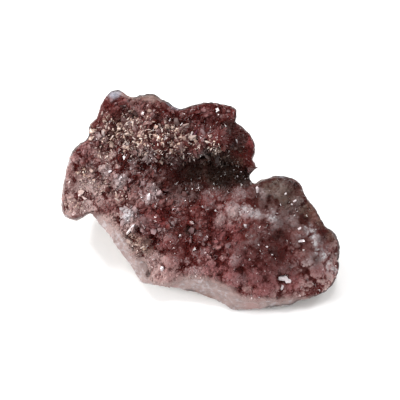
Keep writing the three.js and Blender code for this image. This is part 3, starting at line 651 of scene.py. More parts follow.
quartz = {
    "deep": (0.056, 0.0063, 0.0052),  # the garnet red between the crystals, darkened as painted shade in the creases and at the crystals' feet
    "garnet": (0.067, 0.0066, 0.0058),
    "rose": (0.118, 0.033, 0.030),  # the common pinkish brown of the points
    "mauve": (0.165, 0.104, 0.107),
    "wine": (0.110, 0.018, 0.015),  # of single red crystals
    "lavender": (0.330, 0.250, 0.262),  # and of milky ones
    "pale": (0.300, 0.182, 0.172),
    "fairAndPaintedLight": (0.380, 0.265, 0.250),
    "pink": (0.195, 0.070, 0.072),
    "dusk": (0.074, 0.055, 0.051),
    "milk": (0.300, 0.228, 0.230),
    "ash": (0.400, 0.380, 0.392),
    # the golden crystals' tone, lightened as painted highlight for their glints
    "gold": (0.560, 0.390, 0.300),
    "glintCream": (0.740, 0.615, 0.545),  # painted glint: where the golden crystals are brightest
    "olive": (0.080, 0.058, 0.034),
    # near black, for the painted shade
    "paintedShade": (0.012, 0.0055, 0.004),
    "bare": (0.262, 0.180, 0.168),  # where the crust is thin
    "scarlet": (0.150, 0.018, 0.018),
    "earth": (0.038, 0.0120, 0.0095),  # dark brown: the ground between the golden crystals, and painted shade in the creases among the dusky and golden ones
    "tan": (0.150, 0.080, 0.063),
    "blue": (0.265, 0.258, 0.300),
    "lifts": {  # what makes a place paler or darker, and how much: painted light where a place stands proud, in a knob's or bead's middle and at a crystal's tip, painted shade in the creases, at knob edges and at crystal feet; tone and speckle are the crust's own
        "proud": 0.5,
        "tone": 0.4,
        "knob": 0.85,
        "bead": 0.55,
        "calmBead": 0.3,  # where the crust is smooth
        "tip": 0.6,
        "speckle": 1.7,
    },
    # how far these tints raise the lift; in the fair patches this is painted light
    "shifts": {"fairAndPaintedLight": 0.5, "pale": 0.12, "gold": -0.2},
    "onKnob": (0.02, 0.5, -0.45, 0.8),  # from these heights on a knob or bead to these lifts: painted shade at its edge, painted light in its middle
    "hides": {"pale": 0.85, "dusk": 0.8, "garnet": 0.85, "olive": 0.6, "tan": 0.9, "blue": 0.9},
    "byLift": {  # from a crease to a tip, how much of a colour shows: lift from, to, share from, to
        "mauve": (0.35, 1.2),
        "rose": (0.4, 1.2),
        "pink": (-0.2, 0.7, 0.2, 1),
        "milk": (-0.1, 0.8, 0.1, 1),
        "ash": (-0.3, 0.6, 0.2, 1),
        "fairAndPaintedLight": (-0.1, 0.8, 0.1, 1),
        # low lift: the creases take the painted shade
        "proud": (-0.6, 0.45),
    },
    "bySpeckle": {  # and from one crystal to another
        "wine": (0.3, 0.22),
        "lavender": (0.68, 0.74),
        "earth": (0.56, 0.4, 0, 0.55),
        "glintCream": (0.75, 1),
        "paintedShade": (0.6, 0.98, 0.95, 0.4),
    },
    "veins": (1.6, 3, 0.6),  # of ash: mm, detail, roughness
    "veinShows": (0.42, 0.56, 0.25, 1),
    "goldEarth": 0.6,  # how earthy the ground between the golden crystals is
    "paintedGlintRange": (0.66, 0.82),  # which of them get the painted glint, and how much more of the tips
    "glintLift": 0.12,
    "ownShare": 0.75,  # how far single coarse crystals take their own colour
    "clouds": 0.2,  # how far a crystal's tone changes within it
    "facetTone": 1.5,  # how much the facets differ from each other
    "gloss": (0.06, 0.26),  # roughness, least and most
    "bedGloss": (0.2, 0.45),
    "cloudy": (0.3, 0.7),  # the part of the cloud noise that these follow
    "pointShine": 0.5,  # strength of the reflections on the points, the grains and the bed
    "grainShine": 0.22,
    "bedShine": 0.07,
    "glow": 0.04,  # how much light wanders inside, in the points and in the bed
    "bedGlow": 0.15,
    "glowDepth": 0.6,  # mm
    "glowReach": (1.0, 0.45, 0.4),  # of its red, green and blue
    "bending": 1.54,  # of light in quartz
}


def tintOver(colour, name, share=None):
    # lays one tint over a colour, as strongly as its own attribute says
    amount = tint(colour.tree, name) * quartz["hides"].get(name, 1)
    return mixColours(amount if share is None else amount * share, colour, quartz[name])


def tintedQuartz(tip, speckle):
    # painted shade: deep red in the creases; each tint's own colour where a place stands proud, which is
    # painted lighter
    tree, lifts = tip.tree, quartz["lifts"]
    calmBead = tint(tree, "smooth").between(0, 1, lifts["bead"], lifts["calmBead"])
    lift = tip * lifts["tip"]
    for part, weight in (
        (tint(tree, "proud"), lifts["proud"]),
        (tint(tree, "tone"), lifts["tone"]),
        (tint(tree, "knob").between(*quartz["onKnob"]), lifts["knob"]),
        (tint(tree, "bead").between(*quartz["onKnob"]), calmBead),
        (speckle, lifts["speckle"]),
    ):
        lift = lift + (part - 0.5) * weight
    for name, weight in quartz["shifts"].items():
        lift = lift + tint(tree, name) * weight
    shows = {name: lift.between(*ramp) for name, ramp in quartz["byLift"].items()}
    speckled = {name: speckle.between(*ramp) for name, ramp in quartz["bySpeckle"].items()}

    colour = mixColours(shows["mauve"], quartz["rose"], quartz["mauve"])
    colour = tintOver(colour, "pale")
    colour = tintOver(colour, "dusk")
    wine = mixColours(shows["rose"], quartz["garnet"], quartz["rose"])
    colour = mixColours(tint(tree, "garnet") * quartz["hides"]["garnet"], colour, wine)
    colour = tintOver(colour, "pink", shows["pink"])
    own = tint(tree, "coarse") * quartz["ownShare"]
    for name in ("wine", "lavender"):
        colour = mixColours(own * speckled[name], colour, quartz[name])
    colour = tintOver(colour, "scarlet")
    colour = tintOver(colour, "milk", shows["milk"])
    veins = cloudNoise(tree, *quartz["veins"]).between(*quartz["veinShows"])
    colour = tintOver(colour, "ash", shows["ash"] * veins)
    # the fair tint: pale colour and painted light
    colour = tintOver(colour, "fairAndPaintedLight", shows["fairAndPaintedLight"])
    colour = tintOver(colour, "olive")

    goldGround = (tint(tree, "gold") - tint(tree, "smooth")).maths("MAXIMUM", 0)
    earthy = tint(tree, "dusk") + goldGround * quartz["goldEarth"]
    # painted shade: creases and crystal feet turn deep red, or earth brown among the dusky and golden ones
    colour = mixColours(shows["proud"], mixColours(earthy, quartz["deep"], quartz["earth"]), colour)
    colour = mixColours(goldGround * speckled["earth"], colour, quartz["earth"])
    # painted glints: golden crystals turn gold, the brightest cream, in place of their reflections
    paintedGlint = (speckle + lift * quartz["glintLift"]).between(*quartz["paintedGlintRange"])
    golden = mixColours(speckled["glintCream"], quartz["gold"], quartz["glintCream"])
    colour = mixColours(tint(tree, "gold") * paintedGlint, colour, golden)
    colour = tintOver(colour, "tan")
    colour = tintOver(colour, "blue")
    colour = mixColours(tint(tree, "thin"), colour, quartz["bare"])
    # the painted shade goes over everything
    return tintOver(colour, "paintedShade", speckled["paintedShade"])


def finishQuartz(shader, colour, roughness, shine, glow):
    feed(shader.inputs["Base Color"], colour)
    feed(shader.inputs["Roughness"], roughness)
    shader.inputs["IOR"].default_value = quartz["bending"]
    shader.inputs["Specular IOR Level"].default_value = shine
    shader.inputs["Subsurface Weight"].default_value = glow
    shader.inputs["Subsurface Radius"].default_value = quartz["glowReach"]
    shader.inputs["Subsurface Scale"].default_value = quartz["glowDepth"] * mm


def makeCrystalMaterial(name, shine):
    material, tree, shader = newMaterial(name)
    speckle = tint(tree, "hue") * (1 - quartz["clouds"]) + cloudNoise(tree, 1, 3) * quartz["clouds"]
    facetTone = quartz["facetTone"]
    # painted light at the tips and painted shade at the feet, with a random tone for each facet
    tip = tint(tree, "tip") + tint(tree, "facet") * facetTone - facetTone / 2
    roughness = cloudNoise(tree, 0.7).between(*quartz["cloudy"], *quartz["gloss"])
    finishQuartz(shader, tintedQuartz(tip, speckle), roughness, shine, quartz["glow"])
    addBump(shader, cloudNoise(tree, 0.25, 1), 0.12, 0.05)
    return material


def makeBedMaterial():
    material, tree, shader = newMaterial("garnetDruseBed")
    clouds = cloudNoise(tree, 1.1, 4, 0.6)
    calm = tint(tree, "smooth").between(0, 1, 1, 0.45)
    speckle = cloudNoise(tree, 0.6, 2) - tint(tree, "coarse") * 0.12
    speckle = (speckle - 0.5) * calm + 0.5
    colour = tintedQuartz(clouds.between(0.35, 0.7, 0, 0.8), speckle)
    roughness = clouds.between(*quartz["cloudy"], *quartz["bedGloss"])
    finishQuartz(shader, colour, roughness, quartz["bedShine"], quartz["bedGlow"])
    cells = texture(tree, "ShaderNodeTexVoronoi", 0.55, "Distance", {})
    grains = cloudNoise(tree, 0.5, 3, 0.65) - cells
    addBump(shader, grains * calm, 0.7, 0.16)
    return material


stone = {
    "quartz": (0.268, 0.188, 0.176),  # the pale broken quartz
    "greyQuartz": (0.200, 0.139, 0.130),
    "white": (0.36, 0.322, 0.332),
    "flush": (0.27, 0.150, 0.138),
    "rust": (0.30, 0.13, 0.08),
    "rind": (0.17, 0.125, 0.10),  # the weathered outside
    "rindPale": (0.29, 0.225, 0.18),
    "skin": (0.030, 0.018, 0.017),  # the thin dark line where the rind begins
    "tints": {  # colour, and how much of the quartz it hides
        "rim": ((0.120, 0.050, 0.045), 0.85),
        "pink": ((0.27, 0.150, 0.138), 0.75),
        "red": ((0.14, 0.035, 0.032), 0.8),
        "tan": ((0.150, 0.080, 0.063), 0.85),
        "blue": ((0.265, 0.258, 0.300), 0.85),
    },
    "roughness": (0.36, 0.8),  # of the quartz and of the rind
}


def makeRockMaterial():
    material, tree, shader = newMaterial("paleQuartzAndRind")
    clouds = cloudNoise(tree, 2.6, 4, 0.6)
    fine = cloudNoise(tree, 0.6, 3, 0.65)
    onRind = tint(tree, "rind")
    broken = mixColours(clouds.between(0.38, 0.62), stone["greyQuartz"], stone["quartz"])
    broken = mixColours(cloudNoise(tree, 1.4, 3).between(0.5, 0.68, 0, 0.8), broken, stone["white"])
    broken = mixColours(fine.between(0.46, 0.32, 0, 0.7), broken, stone["flush"])
    for name, (colour, strength) in stone["tints"].items():
        broken = mixColours(tint(tree, name) * strength, broken, colour)
    rind = mixColours(cloudNoise(tree, 5, 5, 0.6).between(0.35, 0.65), stone["rind"], stone["rindPale"])
    rind = mixColours(cloudNoise(tree, 8, 3).between(0.5, 0.68, 0, 0.55), rind, stone["rust"])
    rind = mixColours(fine.between(0.3, 0.5, 0.5, 0), rind, stone["skin"])
    colour = mixColours(onRind, broken, rind)
    colour = mixColours(tint(tree, "skin") * fine.between(0.25, 0.5, 0.3, 1), colour, stone["skin"])
    feed(shader.inputs["Base Color"], colour)
    rough = onRind.between(0, 1, *stone["roughness"])
    feed(shader.inputs["Roughness"], rough * fine.between(0.2, 0.8, 0.8, 1.15))
    addBump(shader, fine + clouds * 0.6, 0.75, 0.35)
    return material


def linked(name, data):
    item = bpy.data.objects.new(name, data)
    bpy.context.scene.collection.objects.link(item)
    return item


def newPiece(name, places, faces, material, smooth):
    mesh = bpy.data.meshes.new(name)
    mesh.from_pydata(places.tolist(), [], faces)
    mesh.materials.append(material)
    mesh.polygons.foreach_set("use_smooth", np.full(len(mesh.polygons), smooth))
    mesh.update()
    return linked(name, mesh)


def insideBox(places, margin):
    # metres in the row frame, kept so many millimetres inside the solids' own box
    low, high = np.array(cadBounds)
    return np.clip(places, low + margin * mm, high - margin * mm)


def closedSheet(mask, top, bottom, inside):
    # a solid between two heights over every grid square whose corners are all in the mask; the corners
    # along its outline move onto the line where the inside distance comes to nothing
    square = mask[:-1, :-1] & mask[1:, :-1] & mask[:-1, 1:] & mask[1:, 1:]
    padded = np.pad(square, 1)
    around = (padded[:-1, :-1], padded[1:, :-1], padded[:-1, 1:], padded[1:, 1:])
    used = np.any(around, axis=0)
    whole = np.all(around, axis=0)
    count = used.sum()
    number = np.full(mask.shape, -1)
    number[used] = np.arange(count)
    rows, columns = np.nonzero(square)
    a, b = number[rows, columns], number[rows, columns + 1]
    c, d = number[rows + 1, columns + 1], number[rows + 1, columns]
    upper = np.stack([a, b, c, d], 1)
    faces = upper.tolist() + (upper[:, ::-1] + count).tolist()
    for dy, dx, first, second in ((-1, 0, a, b), (0, 1, b, c), (1, 0, c, d), (0, -1, d, a)):
        atEdge = ~padded[rows + 1 + dy, columns + 1 + dx]
        p, q = first[atEdge], second[atEdge]
        faces += np.stack([q, p, p + count, q + count], 1).tolist()
    slopeUp, slopeAcross = np.gradient(inside, face["step"])
    move = np.where(whole, 0, inside.clip(0, face["step"] * 1.4) / (slopeUp**2 + slopeAcross**2 + 0.2))
    across = (acrossGrid - slopeAcross * move)[used]
    up = (upGrid - slopeUp * move)[used]
    sides = [np.column_stack([across, up, atGrid(side, across, up)]) for side in (top, bottom)]
    return np.concatenate(sides), faces


def makeBed():
    print("making the crust's bed")
    places, faces = closedSheet(insideBed > 0, bedTop, bedTop - crust["thickness"], insideBed)
    size, height = crust["grain"]
    places[:, 2] += noiseAt(places, size, 5, 2) * height
    piece = newPiece("druseBed", insideBox(toRow(places), crust["margin"]), faces, makeBedMaterial(), True)
    giveAttributes(piece.data, tintValues(places[:, 0], places[:, 1]))
    return piece


rock = {
    "voxel": 0.45,  # mm
    "turns": 4,  # of smoothing
    "shrink": 0.5,  # how far each of them goes, and how far it is swollen back
    "swell": 0.53,
    "coarse": 0.45,  # mm of broad roughness, and of fine
    "fine": 0.26,
    "sunk": 0.18,  # mm that the roughness is let in
    "bed": 0.8,  # mm that the rock lies under the crust's bed
    "under": 0.25,  # mm that the rock stays clear under the crust's edge
    "least": 1,  # mm of thickness
    "foot": 0.35,  # mm over the floor that stays as it is
    "margin": 0.02,  # mm that it stays inside the solids' box
    "quartzLayer": 2.6,  # mm of pale quartz under the crystals, before the rind begins
    "raggedness": 1.1,
    "tintWander": 1.2,  # mm that the patches' outlines wander
    "tints": {  # across, up, radius
        "pink": [(-12, -26.2, 4), (-9, -27.2, 3), (17, -34, 3), (34, -30, 4), (41, -26, 4)],
        "red": [(31.4, 6.4, 3), (17.4, 18, 3.2), (17.4, 13, 3), (15.4, 22, 2.6), (12, 27, 2.2), (17, 9, 3)],
        "tan": [(-21, 33, 2.4), (-17.5, 33.4, 2.6), (-14.2, 33.2, 2.6), (-1, -30.6, 1.8), (2, -31.4, 1.8)],
        "blue": [(25.4, 7.6, 1.6), (-27, 34.6, 2.6), (-8.6, 30.2, 2.2), (-6.8, 29.6, 1.6)],
    },
}


def remeshed(piece, size):
    # the piece's mesh built again from even small squares
    even = piece.modifiers.new("even", "REMESH")
    even.mode = "VOXEL"
    even.voxel_size = size * mm
    graph = bpy.context.evaluated_depsgraph_get()
    mesh = bpy.data.meshes.new_from_object(piece.evaluated_get(graph))
    piece.modifiers.clear()
    rough = piece.data
    piece.data = mesh
    mesh.name = piece.name
    bpy.data.meshes.remove(rough)
    return mesh


def moveCorners(mesh, places):
    mesh.vertices.foreach_set("co", places.ravel())
    mesh.update()


def evenOut(places, edges, turns):
    # smooths a mesh and swells it back each time, so that it doesn't shrink
    count = len(places)
    first, second = edges.T
    degree = np.bincount(edges.ravel(), minlength=count)[:, None]
    for turn in range(turns):
        for step in (rock["shrink"], -rock["swell"]):
            total = np.zeros_like(places)
            for axis in range(3):
                total[:, axis] = np.bincount(first, places[second, axis], count)
                total[:, axis] += np.bincount(second, places[first, axis], count)
            places = places + step * (total / degree - places)
    return places


def roughened(mesh):
    # evens the mesh out and lets the stone's roughness into it
    edges = valuesOf(mesh.edges, "vertices", 2, np.int64)
    places = evenOut(valuesOf(mesh.vertices, "co"), edges, rock["turns"])
    moveCorners(mesh, places)
    normals = valuesOf(mesh.vertices, "normal")
    spots = places / mm
    swell = noiseAt(spots, 4.5, 21, 3) * rock["coarse"] + noiseAt(spots, 1.1, 25, 2) * rock["fine"]
    swell -= rock["sunk"]
    swell[places[:, 2] < rock["foot"] * mm] = 0
    places = insideBox(places + normals * swell[:, None] * mm, rock["margin"])
    moveCorners(mesh, places)
    return places, normals, spots


def rockValues(places, normals, spots):
    # where the stone is rind, skin or rim, and its patches of other colours
    onFace = toFace(places)
    across, up = onFace[:, 0], onFace[:, 1]
    facing = (normals @ faceAxes.T)[:, 2]  # 1 where it faces the way the crystals do
    depth = atGrid(bareTop, across, up) - onFace[:, 2]  # below the rim of the broken edge
    layer = depth + noiseAt(spots, 3.5, 31, 2) * rock["raggedness"]
    rind = softStep(layer, rock["quartzLayer"], rock["quartzLayer"] + 0.9) * (1 - softStep(facing, 0.3, 0.6))
    values = {
        "rind": rind,
        "skin": atGrid(skinLine, across, up) * softStep(facing, -0.1, 0.2),
        "rim": (1 - atGrid(bareBand, across, up)) * softStep(across, -40, -34) * softStep(facing, 0, 0.3),
    }
    a = across + noiseAt(spots, 3, 41) * rock["tintWander"]
    u = up + noiseAt(spots, 3, 43) * rock["tintWander"]
    for name, patches in rock["tints"].items():
        off = [np.hypot(a - atAcross, u - atUp) / radius for atAcross, atUp, radius in patches]
        values[name] = 1 - softStep(np.min(off, axis=0), 0.5, 1.2)
    return values


def makeRock():
    print("making the rock")
    share = softStep(insideRise, 0.1, 1.6)
    top = bareTop * (1 - share) + (bedTop - rock["bed"]) * share
    top = top - rock["under"] * softStep(insideRise, -0.1, 0.4)
    bottom = np.minimum(fillOut(rockBack, ~np.isnan(rockBack)), top - rock["least"])
    places, faces = closedSheet(solidMask, top, bottom, blur(insideEdge, 0.3))
    material = makeRockMaterial()
    piece = newPiece("quartzRock", toRow(places), faces, material, True)
    mesh = remeshed(piece, rock["voxel"])
    giveAttributes(mesh, rockValues(*roughened(mesh)))
    mesh.polygons.foreach_set("use_smooth", np.full(len(mesh.polygons), True))
    mesh.materials.clear()
    mesh.materials.append(material)
    return piece


grains = {  # the fine low points that cover everything
    "spacing": 0.72,  # mm
    "spread": (0.65, 1.6),  # smallest and largest, as shares of that
    "radius": 0.62,  # of the spacing
    "tilt": 24,  # degrees off the surface
    "height": (0.7, 1.3),  # of a tip, in radii
    "sunk": 0.22,  # of a radius
    "fewer": {"thin": 0.75, "smooth": 0.9},  # how many are missing there
    "smaller": 0.3,  # how much smaller they are where the crust is thin
    "margin": 0.03,  # mm that these and all the others stay inside the solids' box
    "candidates": 150000,
    "seed": 5,
}
points = {  # the larger six-sided points among them
    "spacing": 1.4,
    "spread": (0.45, 1.75),
    "radius": 0.42,
    "tilt": 48,
    "shaft": (0.1, 1.3),  # length over the bed, in radii
    "height": (0.9, 1.9),
    "slide": 0,  # how far the foot moves along the crystal, in radii
    "stand": (0, 0),  # and how far it stands out of the bed: radii, mm
    "hue": (0, 1, 1),  # least, most, and the power that makes it rarer towards the most
    "fewer": {"smooth": 0.7},
    "candidates": 40000,
    "seed": 6,
}
shards = {  # thin bright ones that lie across the others
    "spacing": 0.66,
    "spread": (0.5, 1.6),
    "radius": 0.27,
    "tilt": 72,
    "shaft": (1.2, 4.6),
    "height": (0.8, 1.9),
    "slide": 0.8,
    "stand": (0, 0),
    "hue": (0.5, 1.3, 1),
    "wanted": (1.5, 0.4),  # the power of the golden patches' strength, and the share of the coarse ones'
    "candidates": 64000,
    "seed": 7,
}
sparkles = {  # tiny bright ones, scattered thinly over the crust; their pale colour is a painted glint
    "spacing": 1.6,
    "spread": (0.5, 1.3),
    "radius": 0.115,
    "tilt": 70,
    "shaft": (0.8, 3.5),
    "height": (0.8, 1.8),
    "slide": 0,
    "stand": (1, 0.18),
    "hue": (0, 0.8, 3),
    "wanted": (0.05, 0.25),  # chance everywhere, and how much more where the crystals are coarse
    "candidates": 9000,
    "seed": 9,
}


def scatter(kind, wanted):
    # picks places on the bed, large ones first, none too close together
    draw = np.random.default_rng(kind["seed"])
    count = kind["candidates"]
    across = draw.uniform(face["left"], face["right"], count)
    up = draw.uniform(face["low"], face["high"], count)
    steep = np.sqrt(1 + atGrid(fineAcross, across, up) ** 2 + atGrid(fineUp, across, up) ** 2)
    keep = (atGrid(insideBed, across, up) > 0.1) & (draw.uniform(0, 3.5, count) < steep)
    keep &= draw.uniform(0, 1, count) < wanted(across, up)
    across, up = across[keep], up[keep]
    low, high = kind["spread"]
    size = kind["spacing"] * (low + (high - low) * draw.uniform(0, 1, len(across)) ** 1.6)
    out = atGrid(bedTop, across, up)
    cell = kind["spacing"] * high
    around = [(dx - 1, dy - 1, dz - 1) for dx, dy, dz in np.ndindex(3, 3, 3)]
    taken = {}
    chosen = []
    for i in np.argsort(-size):
        a, u, w, s = across[i], up[i], out[i], size[i]
        x, y, z = int(a // cell), int(u // cell), int(w // cell)
        near = [other for dx, dy, dz in around for other in taken.get((x + dx, y + dy, z + dz), ())]
        if any((a - p) ** 2 + (u - q) ** 2 + (w - r) ** 2 < ((s + t) * 0.45) ** 2 for p, q, r, t in near):
            continue
        taken.setdefault((x, y, z), []).append((a, u, w, s))
        chosen.append(i)
    return np.stack([across[chosen], up[chosen], out[chosen]], 1), size[chosen], draw


def surfaceNormal(foot):
    across, up = foot[:, 0], foot[:, 1]
    ways = [
        unit(np.stack([-atGrid(byAcross, across, up), -atGrid(byUp, across, up), np.ones(len(foot))], 1))
        for byAcross, byUp in ((fineAcross, fineUp), (broadAcross, broadUp))
    ]
    return unit(ways[0] + ways[1] * 0.7)


def tilted(normal, degrees, draw):
    # leans each axis off its normal by a random part of the angle
    sideways = unit(np.cross(normal, draw.normal(size=normal.shape)))
    lean = np.radians(degrees * draw.uniform(0.25, 1, len(normal)))
    return normal * np.cos(lean)[:, None] + sideways * np.sin(lean)[:, None]


forms = {  # of six-sided crystals, in radii where nothing else is said
    "turn": 0.14,  # radians that a corner wanders round the axis
    "lowReach": (0.8, 1.2),  # of the corners from the axis
    "lowLean": 0.3,  # how far the tip may lie off the axis
    "flat": (0.45, 1),  # some long ones are flatter than they are wide
    "longReach": (0.82, 1.15),
    "foot": 0.92,  # how wide the foot is next to the shoulder
    "buried": 0.9,
    "shoulders": (-0.35, 0.55),  # every other one is low
    "shoulderSpread": (0.4, 1.3),
    "longLean": 0.35,
}


def hexRings(axis, draw):
    side = unit(np.cross(axis, draw.normal(size=axis.shape)))
    other = np.cross(axis, side)
    rays = []
    for corner in range(6):
        angle = math.radians(60 * corner) + draw.uniform(-forms["turn"], forms["turn"], len(axis))
        rays.append(np.cos(angle)[:, None] * side + np.sin(angle)[:, None] * other)
    return rays, side


def lowPoints(foot, axis, radius, height, sunk, draw):
    # six-sided tips alone, standing in the bed: seven corners each
    rays, side = hexRings(axis, draw)
    base = foot - axis * sunk[:, None]
    ring = [base + ray * (radius * draw.uniform(*forms["lowReach"], len(foot)))[:, None] for ray in rays]
    lean = side * (draw.uniform(-forms["lowLean"], forms["lowLean"], len(foot)) * radius)[:, None]
    corners = np.stack(ring + [foot + axis * height[:, None] + lean], 1)
    faces = [(corner, (corner + 1) % 6, 6) for corner in range(6)] + [(5, 4, 3, 2, 1, 0)]
    return corners, faces, [0.15] * 6 + [1]


def longPoints(foot, axis, radius, shaft, height, draw):
    # a six-sided shaft sunk in the bed, and its tip: thirteen corners each
    rays, side = hexRings(axis, draw)
    flat = draw.uniform(*forms["flat"], len(foot))
    rays = [ray - side * (np.sum(ray * side, 1) * (1 - flat))[:, None] for ray in rays]
    reach = [radius * draw.uniform(*forms["longReach"], len(foot)) for _ in rays]
    feet, shoulders = [], []
    for corner, (ray, r) in enumerate(zip(rays, reach)):
        feet.append(foot + ray * (r * forms["foot"])[:, None] - axis * (radius * forms["buried"])[:, None])
        step = forms["shoulders"][corner % 2]
        high = shaft + radius * step * draw.uniform(*forms["shoulderSpread"], len(foot))
        shoulders.append(foot + ray * r[:, None] + axis * high[:, None])
    lean = side * (draw.uniform(-forms["longLean"], forms["longLean"], len(foot)) * radius)[:, None]
    corners = np.stack(feet + shoulders + [foot + axis * (shaft + height)[:, None] + lean], 1)
    faces = []
    for corner in range(6):
        after = (corner + 1) % 6
        faces += [(corner, after, 6 + after, 6 + corner), (6 + corner, 6 + after, 12)]
    faces.append((5, 4, 3, 2, 1, 0))
    return corners, faces, [0] * 6 + [0.65] * 6 + [1]


def joinCrystals(name, sorts, material):
    # sets several sorts of crystals into one mesh; each sort is corners, faces, tip shares, hue and foot
    low, high = np.array(cadBounds)
    margin = grains["margin"] * mm
    allPlaces, allFaces, tips, hues, feet = [], [], [], [], []
    start = 0
    for corners, faces, tip, hue, foot in sorts:
        count, size = corners.shape[:2]
        rowPlaces = toRow(corners.reshape(-1, 3)).reshape(corners.shape)
        over = np.maximum(rowPlaces.max(1) - (high - margin), 0)
        under = np.maximum((low + margin) - rowPlaces.min(1), 0)
        rowPlaces += (under - over)[:, None, :]  # a crystal that would leave the solids' box is let in
        allPlaces.append(rowPlaces.reshape(-1, 3))
        base = start + np.arange(count)[:, None] * size
        for one in faces:
            allFaces += (base + np.array(one)).tolist()
        start += count * size
        tips.append(np.tile(tip, count))
        hues.append(np.repeat(hue, size))
        feet.append(np.repeat(foot, size, axis=0))
    piece = newPiece(name, np.concatenate(allPlaces), allFaces, material, False)
    across, up = np.concatenate(feet)[:, :2].T
    values = tintValues(across, up)
    # how far up its crystal each corner is: the material paints the tips lighter and the feet darker, as
    # light and shade
    values["tip"] = np.concatenate(tips)
    values["hue"] = np.concatenate(hues)
    giveAttributes(piece.data, values)
    draw = np.random.default_rng(len(allFaces))
    giveAttributes(piece.data, {"facet": draw.uniform(0, 1, len(allFaces))}, "FACE")
    triangles = sum(len(p.vertices) - 2 for p in piece.data.polygons)
    print(f"  {name}: {triangles} triangles")
    return piece


singles = {  # the bright ones that catch the eye
    "places": [  # across, up, length, radius, way it points on the face, lean, violet
        (25.2, -24.4, 2.3, 0.75, 5, 62, 0), (27.6, -25.3, 1.5, 0.7, 150, 50, 0),
        (25.8, -27, 1.4, 0.5, 250, 55, 0), (-12, -21.8, 1.4, 0.62, 70, 50, 0), (18, 3, 1.5, 0.7, 95, 35, 0),
        (31.2, -12.8, 1.5, 0.6, 15, 60, 0), (14.1, -8.2, 1.1, 0.5, 80, 30, 0),
        (-2.9, 20.4, 2.2, 0.3, 68, 70, 0), (-1.9, 20.2, 2.6, 0.55, 68, 70, 1),
        (-22.8, -10.2, 3, 0.55, 48, 75, 0), (-21.6, -8.6, 2.2, 0.5, 42, 70, 0),
        (0.4, 19, 1, 0.4, 110, 40, 0), (-6.4, -11.2, 0.6, 0.32, 90, 25, 0),
        (17.9, -13.8, 0.5, 0.3, 60, 25, 0), (20.5, -14.4, 0.5, 0.28, 0, 25, 0),
        (22.1, -17, 0.6, 0.28, 45, 25, 0), (12.9, 8.9, 0.5, 0.3, 20, 25, 0),
        (11.8, 7.4, 0.5, 0.28, 80, 25, 0), (10.6, 9.6, 0.3, 0.18, 10, 25, 0),
        (14.2, 6.6, 0.3, 0.18, 30, 25, 0), (11.6, 18.4, 1, 0.45, 100, 35, 0),
        (-30.6, 20.8, 1.3, 0.6, 100, 50, 0), (-27.9, 19.6, 1.4, 0.55, 30, 60, 0),
        (-25.3, 6.8, 1, 0.6, 60, 40, 0), (-29, 8.8, 1.5, 0.5, 20, 65, 0), (-16.2, 0.6, 1.2, 0.6, 80, 45, 0),
        (-15.8, 17.2, 1.2, 0.5, 200, 55, 0), (-9.2, 15.4, 1.1, 0.5, 250, 50, 0),
        (29.6, -0.4, 0.8, 0.42, 20, 50, 0), (30.8, -9, 0.8, 0.4, 20, 40, 0),
        (26.7, 1.9, 0.5, 0.28, 30, 40, 0), (25.2, -1.6, 0.5, 0.25, 120, 50, 0),
        (28.8, -1.4, 0.5, 0.3, 200, 50, 0), (0.8, -2.2, 0.7, 0.4, 70, 40, 0),
        (5, -3.4, 0.7, 0.35, 130, 40, 0), (-8.6, -3, 0.7, 0.35, 30, 40, 0),
    ],
    "raised": 0.5,  # how far their feet stand over the bed, in radii
    "shares": (0.55, 0.45),  # of the shaft and the tip in the length
    # near white: partly the crystals' own clear quartz, partly painted highlight for their reflections
    "clear": (0.80, 0.74, 0.76),
    "clouded": (0.62, 0.50, 0.52),
    "violet": (0.10, 0.012, 0.035),
    "goldShare": 0.6,  # how far they turn golden among the golden ones
    "gloss": (0.05, 0.16),
    "seeThrough": 0.3,
    "seed": 8,
}


def makeSingleMaterial():
    material, tree, shader = newMaterial("clearQuartzPoints")
    clouds = cloudNoise(tree, 0.8, 3)
    colour = mixColours(clouds.between(0.35, 0.7), singles["clear"], singles["clouded"])
    colour = mixColours(tint(tree, "hue"), quartz["mauve"], colour)
    colour = mixColours(tint(tree, "gold") * singles["goldShare"], colour, quartz["gold"])
    colour = mixColours(tint(tree, "violet"), colour, singles["violet"])
    feed(shader.inputs["Base Color"], colour)
    feed(shader.inputs["Roughness"], clouds.between(*quartz["cloudy"], *singles["gloss"]))
    shader.inputs["IOR"].default_value = quartz["bending"]
    shader.inputs["Transmission Weight"].default_value = singles["seeThrough"]
    return material


def lyingAxis(foot, turn, lean):
    # an axis that leans off the surface in one direction across the face
    normal = surfaceNormal(foot)
    turn, lean = np.radians(turn), np.radians(lean)
    way = onFlat(np.cos(turn), np.sin(turn))
    way = unit(way - normal * np.sum(way * normal, 1)[:, None])
    return normal * np.cos(lean)[:, None] + way * np.sin(lean)[:, None]


def grow(kind, wanted):
    # one sort of long crystals: their corners, faces, tip shares, hues and feet
    foot, size, draw = scatter(kind, wanted)
    normal = surfaceNormal(foot)
    axis = tilted(normal, kind["tilt"], draw)
    radius = size * kind["radius"]
    shaft = radius * draw.uniform(*kind["shaft"], len(foot))
    height = radius * draw.uniform(*kind["height"], len(foot))
    radii, further = kind["stand"]
    foot = foot + axis * (radius * kind["slide"])[:, None] + normal * (radius * radii + further)[:, None]
    crystals = longPoints(foot, axis, radius, shaft, height, draw)
    least, most, power = kind["hue"]
    return (*crystals, draw.uniform(least, most, len(foot)) ** power, foot)


def sparklesWanted(across, up):
    least, more = sparkles["wanted"]
    wanted = (least + more * tintAt("coarse", across, up)) * (1 - atGrid(thin, across, up))
    return wanted * (1 - tintAt("paintedShade", across, up)) ** 2 * (smoothPatch(across, up) < 0.3)


